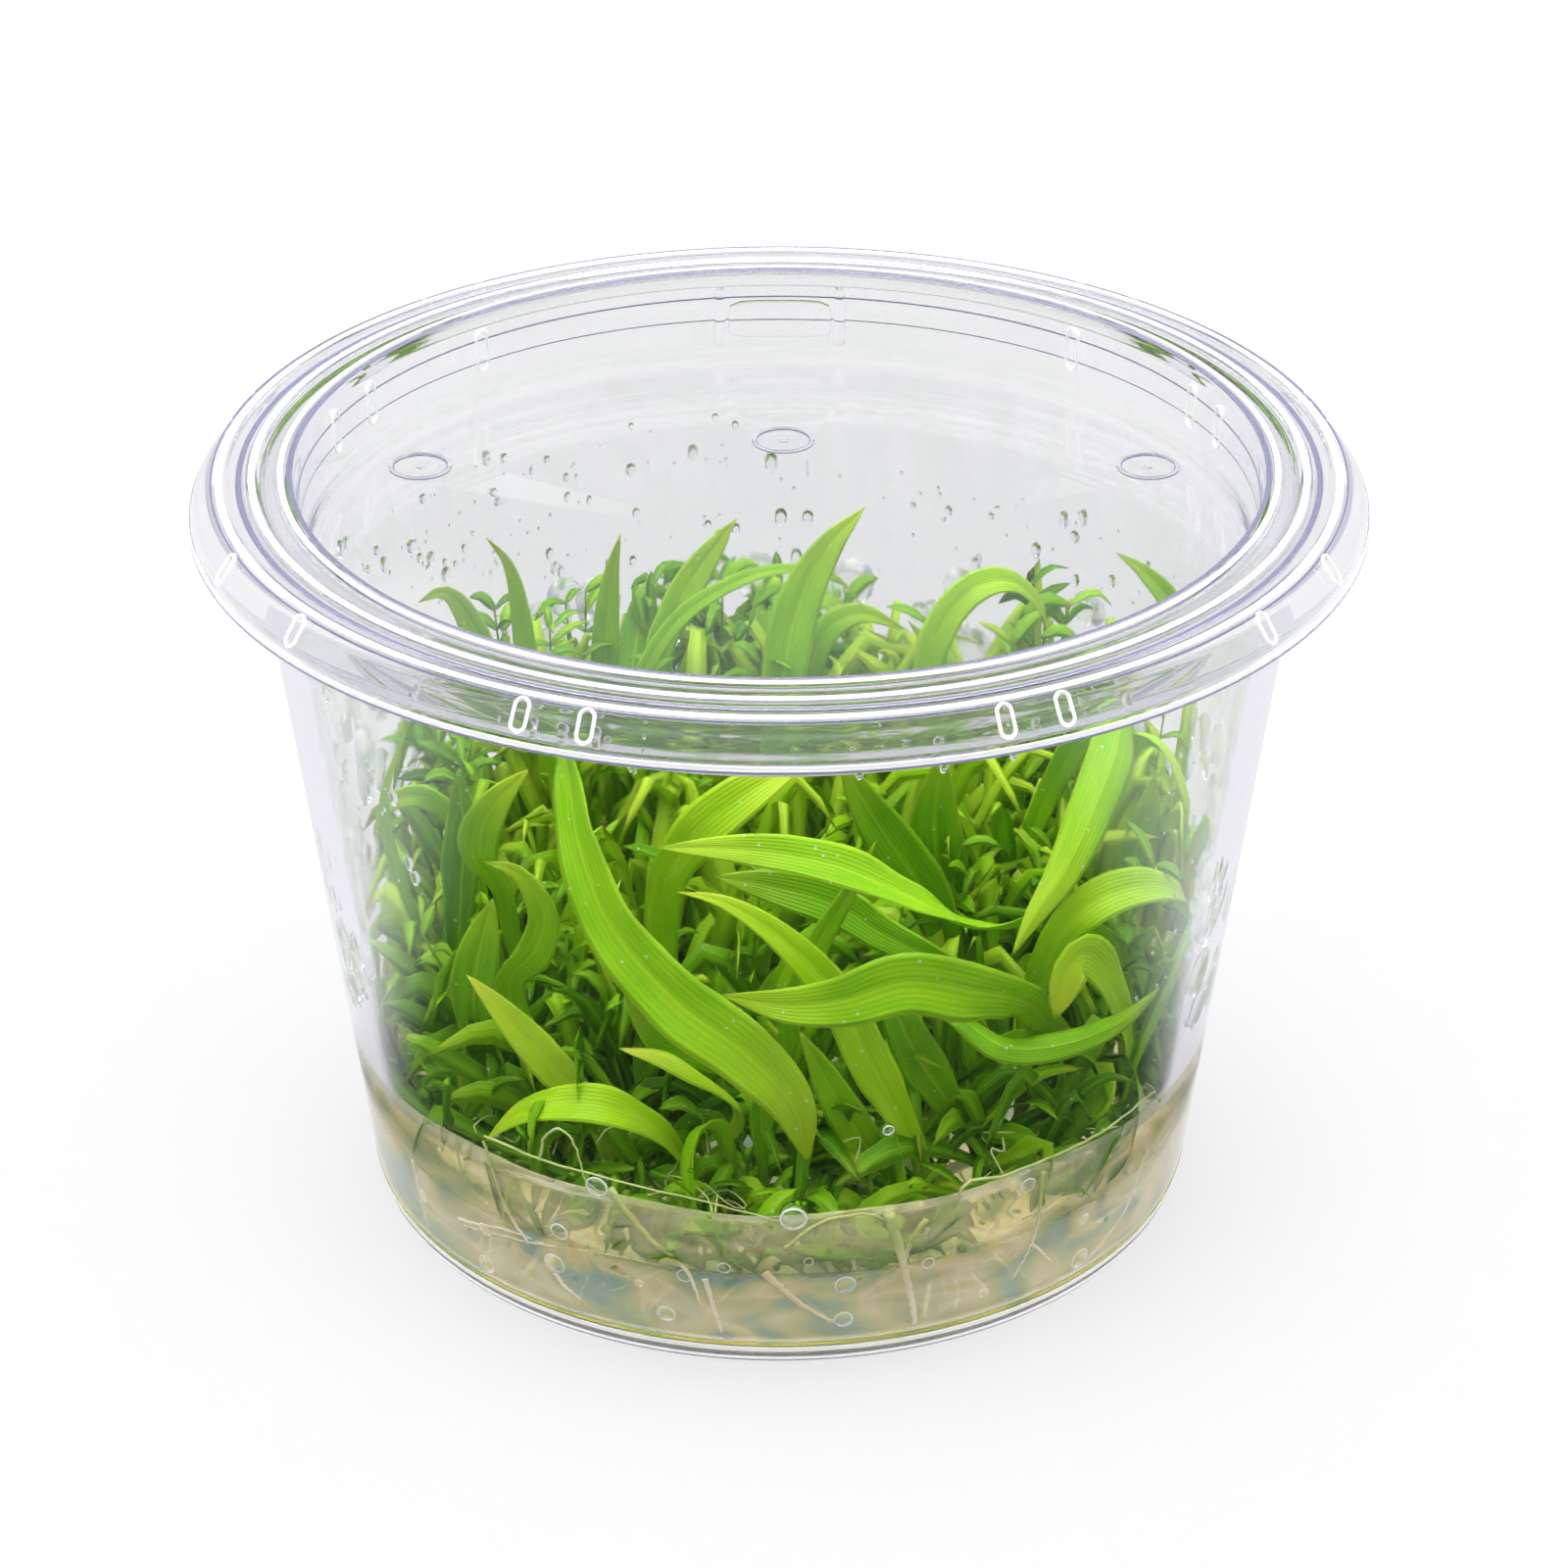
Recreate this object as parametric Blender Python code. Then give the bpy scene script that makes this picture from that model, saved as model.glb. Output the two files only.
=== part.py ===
"""Young chain sword plants growing on agar gel in a round clear tub with a press-on lid.

Lengths are in millimetres in the design values and are turned to metres when a mesh is made.
The tub stands on the plane z = 0, its axis is the Z axis, and -Y is the front.
"""

import math

import bmesh
import bpy
from mathutils import Vector

MM = 0.001
GAP = 0.3

# Tub and lid, read as a 118 mm by 80 mm tissue culture tub
LID_RADIUS = 59.0
LID_TOP = 79.9
PANEL_TOP = 70.0
PANEL_THICKNESS = 0.9
PANEL_RADIUS = 47.8
ROUND_SEGMENTS = 44
BASE_RADIUS = 42.9
WALL_SLOPE = 0.128
WALL_THICKNESS = 1.5
FLOOR_TOP = 1.5
RIM_TOP = 78.3
RIM_RADIUS = 56.0

# Clips on the lid's flank, each pair given by its middle angle and half its spread, from the front
CLIP_PAIRS = [(-23, 3.4), (27, 3.2), (-63, 3.6), (63, 3.6), (102, 3.6), (-102, 3.6), (141, 3.6), (-141, 3.6)]
CLIP_WIDTH = 1.5
CLIP_LENGTH = 3.2
CLIP_LEAN = -39.6
CLIP_RADIUS = 57.5
CLIP_HEIGHT = 77.9
TAB_WIDTH = 11.3
TAB_BOTTOM = 72.5
TAB_TOP = 77.0

# Gate marks moulded in the lid's panel
MARKS = [(-37.4, 18.8), (0.4, 25.4), (38.4, 18.8)]
MARK_RADIUS = 3.1
MARK_HEIGHT = 0.3

# Gel, which wets the wall above its surface
GEL_TOP = 10.3
GEL_FILM_TOP = 19.0
GEL_FILM_THICKNESS = 0.5

# Plants
CROWN_RADIUS = 2.2
CROWN_TOP = 14.5
CROWN_BOTTOM = GEL_TOP + GAP
RUNNER_RADIUS = 0.5
RUNNER_HEIGHT = 11.3
ROOT_RADIUS = 0.5
ROOT_TIP_RADIUS = 0.25
LEAF_THICKNESS = 0.5
LEAF_CHANNEL = 0.12
LEAF_SECTION_SPACING = 7.5
LEAF_SECTIONS_AT_LEAST = 7
LEAF_TURN_EASE = 2.0

# Each runner with the crowns on it, and the root tips of each crown
RUNNERS = {
    "runner_front": [
        ((-17, -25), [(-13, -37, 3), (-25, -31, 4)]),
        ((-4, -29), [(5, -38, 3), (-6, -37, 5)]),
        ((14, -27), [(14, -37.5, 3), (20, -35, 5)]),
        ((22, -21), [(27.3, -29.2, 3.4), (33, -20, 5)]),
    ],
    "runner_middle": [
        ((-29, -10), [(-37, -13, 3), (-34, -22, 5)]),
        ((-10, -5), [(-13, -14, 4), (-2, 1, 5)]),
        ((17, -7), [(10, -13, 4), (24, -2, 5)]),
        ((30, -8), [(37, -12, 3), (36, -3, 5)]),
    ],
    "runner_back": [
        ((-20, 14), [(-29, 21, 3), (-15, 25, 5)]),
        ((0, 16), [(-5, 28, 3), (7, 27, 5)]),
        ((24, 12), [(33, 16, 3), (24, 25, 5)]),
    ],
}

# Directions that a leaf's upper face may look to
TO_FRONT = (0.0, -0.85, 0.5)
UP_FRONT = (0.0, -0.5, 0.85)
UP = (0.0, -0.1, 1.0)
TO_LEFT = (-0.7, -0.6, 0.4)
TO_RIGHT = (0.7, -0.6, 0.4)
TO_BACK = (0.0, 0.8, 0.6)

# Strap leaves: width, place of the widest part, face at the base and at the tip, and the route
# of the midrib from its crown to its tip
LEAVES = [
    (6.6, 0.8, TO_LEFT, TO_FRONT,
     [(-12.6, -5.8, 12.5), (-20, -3.5, 30), (-23, -6, 50), (-22.3, -12, 57.5), (-20.8, -20, 55),
      (-19.5, -26, 50), (-16.3, -31, 43.6), (-10, -35, 37.6), (-3.4, -37, 33), (1.2, -37.3, 27.3),
      (3, -35.5, 19)]),
    (5.0, 0.6, TO_FRONT, TO_FRONT,
     [(-8.5, -7.4, 12.5), (-6, -18, 20), (-7, -26, 26), (-12, -30, 31), (-15.5, -30.5, 37)]),
    (4.6, 0.7, UP, TO_FRONT,
     [(19.7, -8, 12.5), (23.5, -12, 26), (25, -18, 36), (22.5, -25.5, 40.3), (18.3, -28, 42),
      (12.9, -30, 46), (5.2, -31, 50.3), (-3.4, -31, 52), (-11.9, -31, 52.3)]),
    (4.4, 0.75, UP_FRONT, TO_FRONT,
     [(22, -18.2, 12.5), (22.3, -18.5, 22), (20.5, -20, 29.5), (16.2, -21.5, 33.5),
      (10.3, -22, 37.2), (5.4, -22, 40.6), (-1.5, -22, 42.8), (-6.5, -21.5, 43.5)]),
    (4.4, 0.35, TO_FRONT, UP_FRONT,
     [(14.5, -29.7, 12.5), (13.8, -31.5, 18), (11.5, -33, 24), (8.5, -34.3, 31), (5.5, -34, 37.5),
      (0.5, -34.5, 44), (-5, -34.6, 48.2), (-9.9, -34.5, 49.5)]),
    (4.8, 0.5, TO_FRONT, TO_FRONT,
     [(20.5, -23.4, 12.5), (18.5, -26, 18), (15.5, -28.5, 24), (12.5, -30.6, 31), (9.5, -31, 40)]),
    (6.2, 0.62, TO_FRONT, TO_FRONT,
     [(29.5, -10.8, 12.5), (29.5, -15.5, 19), (28.5, -20, 24.5), (26.5, -25.5, 29.5),
      (24.5, -29.4, 34), (22, -34.2, 37.8), (18.5, -37, 40), (12.2, -39, 42.2), (6.1, -38, 39.4),
      (0.4, -36.8, 38.2), (-5.8, -33, 37)]),
    (3.0, 0.6, UP_FRONT, TO_FRONT,
     [(14.5, -24.2, 12.5), (12.5, -23.5, 20), (12, -25, 27), (13.3, -27, 31.5), (16.9, -31, 33.6),
      (21.7, -34.2, 31.9), (27.5, -32.6, 31.3), (33.7, -27, 30.6), (38, -22, 31.6)]),
    (4.8, 0.82, TO_RIGHT, TO_FRONT,
     [(32.2, -10, 12.5), (35.3, -16.5, 18), (34.8, -21.5, 26), (32.6, -25, 34),
      (30.2, -27.8, 38.6), (28.2, -29.8, 38.2), (27, -30.6, 32.8)]),
    (6.0, 0.65, UP_FRONT, TO_FRONT,
     [(24.6, -22.3, 12.5), (27.6, -23.5, 16), (30.6, -23.8, 19.5), (33.6, -22.5, 22.8)]),
    (5.0, 0.7, TO_FRONT, TO_FRONT,
     [(18.8, -5, 12.5), (25, 0, 32), (31.5, -1.5, 49), (34.3, -7.5, 56), (33.7, -14, 54),
      (31, -20, 50.3), (28, -25, 46.3), (25, -28, 43), (22.6, -30, 39.4)]),
    (4.2, 0.6, TO_FRONT, UP_FRONT,
     [(24.8, -19.1, 12.5), (25, -20.5, 24), (25.8, -23.5, 33), (28.2, -25, 39.8), (31.6, -24, 42.6),
      (36.2, -20.5, 42), (40.3, -16.5, 39), (42, -12.5, 34)]),
    (3.4, 0.6, TO_FRONT, TO_FRONT,
     [(27.8, -9.9, 12.5), (27.8, -13, 24), (29, -16, 32), (31, -17.8, 35.3), (33.4, -17.5, 33.5),
      (34.6, -15.5, 28), (34, -14, 24)]),
    (3.8, 0.6, TO_FRONT, TO_FRONT,
     [(-19, -23, 12.5), (-23.5, -22.5, 22), (-27, -24, 32.2), (-24, -27, 38.5), (-23, -28, 43.5),
      (-25.4, -28, 47.9), (-28.8, -27, 48.5)]),
    (4.8, 0.7, TO_FRONT, TO_FRONT,
     [(-29, -12.8, 12.5), (-28.7, -17, 16), (-29.8, -20, 22), (-30.7, -21.2, 28), (-30.2, -21, 34),
      (-28.6, -19.8, 40.2)]),
    (3.8, 0.5, TO_FRONT, TO_FRONT,
     [(-16.5, -27.9, 12.5), (-19, -28.2, 21), (-23, -28.2, 26.6), (-27.3, -28, 32.3),
      (-30.8, -27, 35.9)]),
    (3.2, 0.5, UP_FRONT, TO_FRONT,
     [(-19.8, -25, 12.5), (-24.5, -23.5, 13.5), (-29, -22, 16.5), (-34, -20, 20), (-39, -17.5, 24.5)]),
    (4.2, 0.5, UP_FRONT, UP_FRONT,
     [(-6.8, -29.5, 12.5), (-9.5, -31.5, 17), (-12, -33, 21.5), (-17, -34, 24.8), (-22, -33, 24.5),
      (-26, -31, 21.8), (-29.3, -29.5, 18)]),
    (3.4, 0.55, TO_BACK, TO_FRONT,
     [(-4.5, -31.8, 12.5), (-5, -32.3, 18), (-6.2, -33.6, 22.3), (-8, -35.5, 22.6),
      (-8.8, -37, 18.5), (-8.2, -38, 14), (-7.3, -38.6, 11.5)]),
    (2.4, 0.6, TO_FRONT, TO_FRONT, [(-1.4, -30.6, 12.5), (-1.7, -32.5, 18), (-1.7, -33, 24), (-1.2, -33, 29)]),
    (3.0, 0.65, UP_FRONT, UP_FRONT,
     [(-6, -26.4, 12.5), (-5.2, -28, 17), (-3.8, -30, 21.3), (-6.8, -32, 26.2), (-11, -33, 29.7),
      (-15.8, -33, 31)]),
    (4.0, 0.4, TO_FRONT, TO_FRONT,
     [(11, -28, 12.5), (9.2, -30.5, 17), (6.2, -31, 22.7), (3.9, -30.4, 27.3), (2, -30, 31)]),
    (3.8, 0.55, TO_FRONT, TO_FRONT,
     [(19, -19.6, 12.5), (20.3, -22.5, 18), (20.6, -24, 23), (19.3, -24.5, 28.5), (18, -25, 33)]),
    (5.6, 0.6, TO_FRONT, TO_FRONT,
     [(15, -9, 12.5), (17.5, -11.5, 26), (15.9, -12.5, 34.5), (12.3, -14, 41.4), (8.7, -15.5, 48.2),
      (5.8, -16, 54.5)]),
    (6.4, 0.6, TO_FRONT, TO_FRONT,
     [(16.5, -4.3, 12.5), (17.5, -5.5, 25), (16.5, -7.5, 35), (15.9, -8.5, 42.5), (16.6, -9, 51)]),
    (2.8, 0.5, TO_FRONT, TO_FRONT,
     [(-2.2, -26.8, 12.5), (-0.3, -26.3, 20), (0.9, -26.8, 28), (2, -27.5, 34.3), (4.1, -27.5, 40),
      (6.7, -27.3, 44.8), (9.5, -27, 50.8)]),
    (5.0, 0.75, TO_FRONT, UP_FRONT,
     [(-10.5, -7.8, 12.5), (-11.5, -16, 28), (-11.5, -22, 42), (-8.5, -24, 49.3), (-5, -23.5, 52.5),
      (0, -21.5, 55), (4, -20, 56.5)]),
    (1.7, 0.5, TO_LEFT, TO_FRONT,
     [(-31.7, -9, 12.5), (-35, -8.5, 24), (-38.5, -8.5, 33), (-40.4, -9.5, 42.4), (-40, -9.5, 47.5),
      (-38, -8.5, 52.8)]),
    (2.8, 0.7, TO_LEFT, UP_FRONT,
     [(-28.3, -7.3, 12.5), (-29.5, -5.5, 24), (-31.5, -4.8, 34), (-33.5, -5, 40.3), (-37, -5, 43.3),
      (-40.6, -5, 42.2), (-42.6, -5, 38.5)]),
    (4.4, 0.75, TO_LEFT, TO_FRONT,
     [(-26.7, -12.4, 12.5), (-26.5, -14, 25), (-27.5, -16.5, 38), (-29.8, -20, 46), (-28, -22, 52),
      (-24.5, -22, 56)]),
    (4.6, 0.7, TO_LEFT, TO_FRONT,
     [(-31.2, -11.8, 12.5), (-33, -13, 24), (-32.5, -13, 36), (-32, -12.5, 43), (-32.5, -11, 50)]),
    (2.6, 0.6, TO_FRONT, TO_FRONT,
     [(-22, 16, 12.5), (-25.5, 18, 32), (-27, 18, 50), (-28.2, 17, 58.5), (-30.7, 15.5, 63)]),
    (3.0, 0.7, TO_FRONT, TO_FRONT,
     [(-19.5, 16.8, 12.5), (-19, 18.5, 32), (-18.5, 19, 48), (-17.8, 20, 56), (-16.7, 20.5, 61)]),
    (3.6, 0.8, TO_FRONT, TO_FRONT,
     [(-3, 15, 12.5), (-10, 14, 30), (-12.8, 16, 47), (-11, 18, 53), (-8.3, 20, 57.3), (-4.5, 22, 62)]),
    (1.9, 0.6, TO_FRONT, UP_FRONT,
     [(-10.3, -2.2, 12.5), (-14, 4, 30), (-15, 9, 46), (-13.5, 10, 51.5), (-9.7, 12, 55.9),
      (-4.6, 14, 58.4), (0.5, 16.3, 58.8), (5.6, 18, 57.2), (9, 19, 53)]),
    (5.0, 0.7, TO_FRONT, TO_FRONT,
     [(0.8, 13.3, 12.5), (-0.5, 9, 32), (0.3, 10.5, 48), (2, 13.5, 56), (5.1, 16, 61.4), (9, 18.5, 65)]),
    (3.0, 0.75, TO_FRONT, UP_FRONT,
     [(2.5, 17, 12.5), (2, 19, 32), (3.8, 20.5, 47), (8, 22.5, 50.5), (13.6, 24, 48)]),
    (3.6, 0.6, TO_FRONT, UP_FRONT,
     [(21.2, 13.5, 12.5), (17, 13, 32), (15.5, 13.5, 47), (17, 15, 53), (20.6, 17, 56.3), (24.8, 19.5, 55.6),
      (28, 22.5, 50.5), (28.6, 24.5, 45)]),
    (3.0, 0.75, TO_RIGHT, TO_FRONT,
     [(26.4, 13.6, 12.5), (34, 17, 32), (40, 17, 47), (41.3, 18.3, 53.2), (38.5, 20, 56.6), (35.5, 22, 58)]),
    (3.2, 0.75, TO_LEFT, UP_FRONT,
     [(-22.7, 13.2, 12.5), (-27, 10, 32), (-30.3, 12, 49), (-32.6, 13.5, 54.8), (-35, 14, 57.3),
      (-37.8, 14, 56)]),
    (3.8, 0.7, TO_FRONT, TO_RIGHT,
     [(25.5, 9.7, 12.5), (31, 4, 28), (34.5, 0, 42), (37, -1.5, 48), (40, -3.5, 48), (42.3, -5.5, 44),
      (42.8, -6.5, 39.5)]),
    (4.8, 0.65, TO_RIGHT, TO_FRONT,
     [(32.7, -7, 12.5), (35, -6, 22), (36.3, -6, 33), (37.7, -6, 40), (39, -5, 46)]),
    (2.4, 0.6, TO_RIGHT, TO_FRONT,
     [(26.6, 11, 12.5), (36, 5, 22), (41, 0, 33), (42, -1.5, 40), (42.3, -2, 45)]),
    (4.4, 0.6, TO_BACK, TO_BACK,
     [(-17, 15.3, 12.5), (-17, 24, 28), (-16, 32, 40), (-14, 38, 46), (-11, 40.5, 43)]),
    (4.6, 0.6, TO_BACK, TO_BACK,
     [(0, 18.9, 12.5), (0, 26, 30), (-1, 34, 42), (-1, 40.5, 46), (1, 43, 42)]),
    (4.4, 0.6, TO_BACK, TO_BACK, [(23.4, 14.8, 12.5), (20.5, 23, 28), (18.5, 32, 38), (14, 38.5, 42)]),
]

# Bushy plantlets with small leaves: place, height and the turn of the lowest leaf in degrees
PLANTLETS = [
    ((-21, -14), 34, 20),
    ((-1, -13), 32, 75),
    ((9, -1), 36, 140),
    ((-34, 6), 34, 30),
    ((-8.5, 26), 36, 200),
    ((9, 31), 36, 250),
    ((27, 24), 34, 310),
    ((-25, 25), 34, 160),
]
PLANTLET_BOTTOM = CROWN_BOTTOM
PLANTLET_STEM_RADIUS = 0.9
PLANTLET_LEAF_LENGTH = 6.5
PLANTLET_LEAF_WIDTH = 3.2
PLANTLET_LEAF_STEP = 3.6
GOLDEN_ANGLE = 137.5


def wall_radius(height):
    """Outer radius of the tub's wall at a height."""
    return BASE_RADIUS + WALL_SLOPE * height


def inner_radius(height):
    """Inner radius of the tub's wall at a height."""
    return wall_radius(height) - WALL_THICKNESS


def make_material(name, colour, roughness, transmission=0.0):
    """Principled material of one colour."""
    material = bpy.data.materials.new(name)
    material.use_nodes = True
    shader = material.node_tree.nodes["Principled BSDF"]
    shader.inputs["Base Color"].default_value = (*colour, 1.0)
    shader.inputs["Roughness"].default_value = roughness
    shader.inputs["Metallic"].default_value = 0.0
    shader.inputs["Transmission Weight"].default_value = transmission
    return material


def make_object(name, mesh_data, material, smooth=True):
    """Turns a bmesh into a named object with one material."""
    bmesh.ops.recalc_face_normals(mesh_data, faces=mesh_data.faces)
    mesh = bpy.data.meshes.new(name)
    mesh_data.to_mesh(mesh)
    mesh_data.free()
    if smooth:
        mesh.shade_smooth()
        mesh.set_sharp_from_angle(angle=math.radians(35))
    if material:
        mesh.materials.append(material)
    made = bpy.data.objects.new(name, mesh)
    bpy.context.scene.collection.objects.link(made)
    return made


def make_guide(name, mesh_data):
    """An object that only cuts or joins others."""
    guide = make_object(name, mesh_data, None, smooth=False)
    guide.hide_render = True
    guide.display_type = "WIRE"
    return guide


def combine(target, guide, operation):
    """Adds an exact boolean with a guide to an object."""
    modifier = target.modifiers.new(guide.name, "BOOLEAN")
    modifier.operation = operation
    modifier.solver = "EXACT"
    modifier.object = guide


def turned(profile, segments=ROUND_SEGMENTS):
    """Closed solid turned about Z from (radius, height) points that start and end on the axis."""
    mesh_data = bmesh.new()
    rings = []
    for radius, height in profile:
        if radius == 0:
            rings.append([mesh_data.verts.new((0, 0, height * MM))])
            continue
        ring = []
        for k in range(segments):
            angle = 2 * math.pi * k / segments
            ring.append(mesh_data.verts.new((radius * MM * math.cos(angle), radius * MM * math.sin(angle),
                                             height * MM)))
        rings.append(ring)
    for lower, upper in zip(rings, rings[1:]):
        for k in range(segments):
            after = (k + 1) % segments
            corners = [lower[k % len(lower)], lower[after % len(lower)], upper[after % len(upper)],
                       upper[k % len(upper)]]
            mesh_data.faces.new(list(dict.fromkeys(corners)))
    return mesh_data


def add_box(mesh_data, centre, size, turn=0.0, lean=0.0):
    """Adds a box, leaned about its own X axis and then turned about Z, both in degrees."""
    cos_turn, sin_turn = math.cos(math.radians(turn)), math.sin(math.radians(turn))
    cos_lean, sin_lean = math.cos(math.radians(lean)), math.sin(math.radians(lean))
    made = bmesh.ops.create_cube(mesh_data, size=1.0)["verts"]
    for vert in made:
        x, y, z = (vert.co[k] * size[k] for k in range(3))
        y, z = y * cos_lean - z * sin_lean, y * sin_lean + z * cos_lean
        x, y = x * cos_turn - y * sin_turn, x * sin_turn + y * cos_turn
        vert.co = Vector((x + centre[0], y + centre[1], z + centre[2])) * MM


def add_ring(mesh_data, centre, radius, width, bottom, top, segments=12):
    """Adds a flat ring of square section."""
    rings = []
    for r, z in [(radius - width, bottom), (radius, bottom), (radius, top), (radius - width, top)]:
        rings.append([mesh_data.verts.new(((centre[0] + r * math.cos(2 * math.pi * k / segments)) * MM,
                                           (centre[1] + r * math.sin(2 * math.pi * k / segments)) * MM,
                                           z * MM)) for k in range(segments)])
    for one, other in zip(rings, rings[1:] + rings[:1]):
        for k in range(segments):
            after = (k + 1) % segments
            mesh_data.faces.new((one[k], one[after], other[after], other[k]))


def add_cone(mesh_data, start, end, start_radius, end_radius, sides=4):
    """Adds a closed straight tapered rod between two points."""
    start, end = Vector(start), Vector(end)
    along = (end - start).normalized()
    across = along.orthogonal().normalized()
    other = along.cross(across)
    rings = []
    for point, radius in ((start, start_radius), (end, end_radius)):
        ring = []
        for k in range(sides):
            angle = 2 * math.pi * k / sides
            place = point + radius * (math.cos(angle) * across + math.sin(angle) * other)
            ring.append(mesh_data.verts.new(place * MM))
        rings.append(ring)
    for k in range(sides):
        after = (k + 1) % sides
        mesh_data.faces.new((rings[0][k], rings[0][after], rings[1][after], rings[1][k]))
    mesh_data.faces.new(rings[0][::-1])
    mesh_data.faces.new(rings[1])


def smooth_route(points, spacing):
    """Evenly spaced points on a smooth curve through the given ones.

    The curve is a Catmull-Rom spline with its end points doubled.
    """
    corners = [Vector(p) for p in points]
    corners = [2 * corners[0] - corners[1], *corners, 2 * corners[-1] - corners[-2]]
    fine = []
    steps = 12
    for a, b, c, d in zip(corners, corners[1:], corners[2:], corners[3:]):
        for k in range(steps):
            t = k / steps
            fine.append(0.5 * (2 * b + (c - a) * t + (2 * a - 5 * b + 4 * c - d) * t ** 2
                               + (3 * b - a - 3 * c + d) * t ** 3))
    fine.append(corners[-2])
    lengths = [0.0]
    for one, after in zip(fine, fine[1:]):
        lengths.append(lengths[-1] + (after - one).length)
    count = max(LEAF_SECTIONS_AT_LEAST, round(lengths[-1] / spacing))
    places = []
    k = 0
    for step in range(count + 1):
        wanted = lengths[-1] * step / count
        while k < len(fine) - 2 and lengths[k + 1] < wanted:
            k += 1
        share = (wanted - lengths[k]) / (lengths[k + 1] - lengths[k])
        places.append(fine[k].lerp(fine[k + 1], min(share, 1.0)))
    return places


def leaf_width(share, width, widest):
    """Width of a strap leaf: a narrow stalk, a long blade and a pointed tip."""
    rise = min(share / widest, 1.0)
    blade = 0.36 + 0.64 * rise ** 2
    fall = max(share - widest, 0.0) / (1.0 - widest)
    return width * blade * (1.0 - fall ** 2.2)


def turned_face(face, wanted, ahead):
    """The blade's face at a section: carried on from the last one and eased to the nearer side of the wanted one."""
    carried = (face - face.dot(ahead) * ahead).normalized()
    wanted = wanted - wanted.dot(ahead) * ahead
    nearer = wanted if wanted.dot(carried) >= 0 else -wanted
    return (carried + LEAF_TURN_EASE * nearer).normalized()


def leaf_solid(width, widest, base_face, tip_face, route):
    """Thin channelled blade along a smooth route, closed at its stalk and pointed at its tip."""
    mesh_data = bmesh.new()
    places = smooth_route(route, LEAF_SECTION_SPACING)
    last = len(places) - 1
    sections = []
    face = Vector(base_face)
    for k, place in enumerate(places[:-1]):
        share = k / last
        ahead = (places[k + 1] - places[max(k - 1, 0)]).normalized()
        face = turned_face(face, Vector(base_face).lerp(Vector(tip_face), share), ahead)
        side = ahead.cross(face)
        half = 0.5 * leaf_width(share, width, widest)
        rise = LEAF_CHANNEL * 2 * half * face
        skin = 0.5 * LEAF_THICKNESS * face
        corners = [place - half * side + rise, place + skin, place + half * side + rise, place - skin]
        sections.append([mesh_data.verts.new(corner * MM) for corner in corners])
    # Both skins are split along the same diagonals, from an edge to the middle of the next section
    for one, after in zip(sections, sections[1:]):
        for edge in (0, 2):
            for middle in (1, 3):
                mesh_data.faces.new((one[edge], one[middle], after[middle]))
                mesh_data.faces.new((one[edge], after[middle], after[edge]))
    tip = mesh_data.verts.new(places[-1] * MM)
    for k in range(4):
        mesh_data.faces.new((sections[-1][k], sections[-1][(k + 1) % 4], tip))
    mesh_data.faces.new(sections[0])
    return mesh_data


def build_cup(material):
    """Tapered tub with a flat base and a rim flange."""
    top = RIM_TOP
    neck = 75.0
    profile = [
        (0, 0),
        (41.6, 0),
        (wall_radius(0) - 0.2, 0.5),
        (wall_radius(2), 2.0),
        (wall_radius(neck), neck),
        (wall_radius(neck) + 0.6, 76.4),
        (RIM_RADIUS - 0.4, 76.6),
        (RIM_RADIUS, 77.3),
        (RIM_RADIUS - 0.7, top - 0.2),
        (inner_radius(top) + 0.8, top),
        (inner_radius(top), top - 0.8),
        (inner_radius(3), 3.0),
        (inner_radius(1.5) - 1.2, FLOOR_TOP),
        (0, FLOOR_TOP),
    ]
    return make_object("cup", turned(profile), material)


def build_lid(material):
    """Lid with a sunk panel, a grooved ring, a skirt, clips, a tab and gate marks."""
    under = PANEL_TOP - PANEL_THICKNESS
    channel = LID_TOP - 1.2
    profile = [
        (0, PANEL_TOP),
        (PANEL_RADIUS - 0.6, PANEL_TOP),
        (PANEL_RADIUS, PANEL_TOP + 0.6),
        (48.1, LID_TOP - 0.8),
        (48.8, LID_TOP),
        (50.1, LID_TOP),
        (51.0, LID_TOP - 0.6),
        (52.1, LID_TOP),
        (52.9, LID_TOP),
        (54.0, LID_TOP - 0.5),
        (55.1, LID_TOP),
        (56.0, LID_TOP),
        (56.7, LID_TOP - 0.7),
        (58.6, 76.9),
        (LID_RADIUS, 75.3),
        (LID_RADIUS - 0.8, 75.3),
        (LID_RADIUS - 1.1, 76.2),
        (56.5, 77.2),
        (55.9, channel),
        (49.3, channel),
        (48.7, under + 0.7),
        (48.0, under),
        (0, under),
    ]
    lid = make_object("lid", turned(profile), material)
    clips = bmesh.new()
    for middle, spread in CLIP_PAIRS:
        for angle in (middle - spread, middle + spread):
            x = CLIP_RADIUS * math.sin(math.radians(angle))
            y = -CLIP_RADIUS * math.cos(math.radians(angle))
            add_box(clips, (x, y, CLIP_HEIGHT), (CLIP_WIDTH, 1.0, CLIP_LENGTH), turn=angle, lean=CLIP_LEAN)
    combine(lid, make_guide("clips", clips), "UNION")
    tab = bmesh.new()
    tab_middle = 0.5 * (TAB_BOTTOM + TAB_TOP)
    add_box(tab, (0, PANEL_RADIUS - 0.2, tab_middle), (TAB_WIDTH, 1.0, TAB_TOP - TAB_BOTTOM))
    for side in (-1, 1):
        add_box(tab, (side * 0.5 * (TAB_WIDTH + 1.8), PANEL_RADIUS - 0.3, tab_middle + 0.9), (1.0, 1.2, 6.2))
    combine(lid, make_guide("tab", tab), "UNION")
    marks = bmesh.new()
    for centre in MARKS:
        add_ring(marks, centre, MARK_RADIUS, 0.4, PANEL_TOP - 0.4, PANEL_TOP + MARK_HEIGHT)
    combine(lid, make_guide("marks", marks), "UNION")
    return lid


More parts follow.
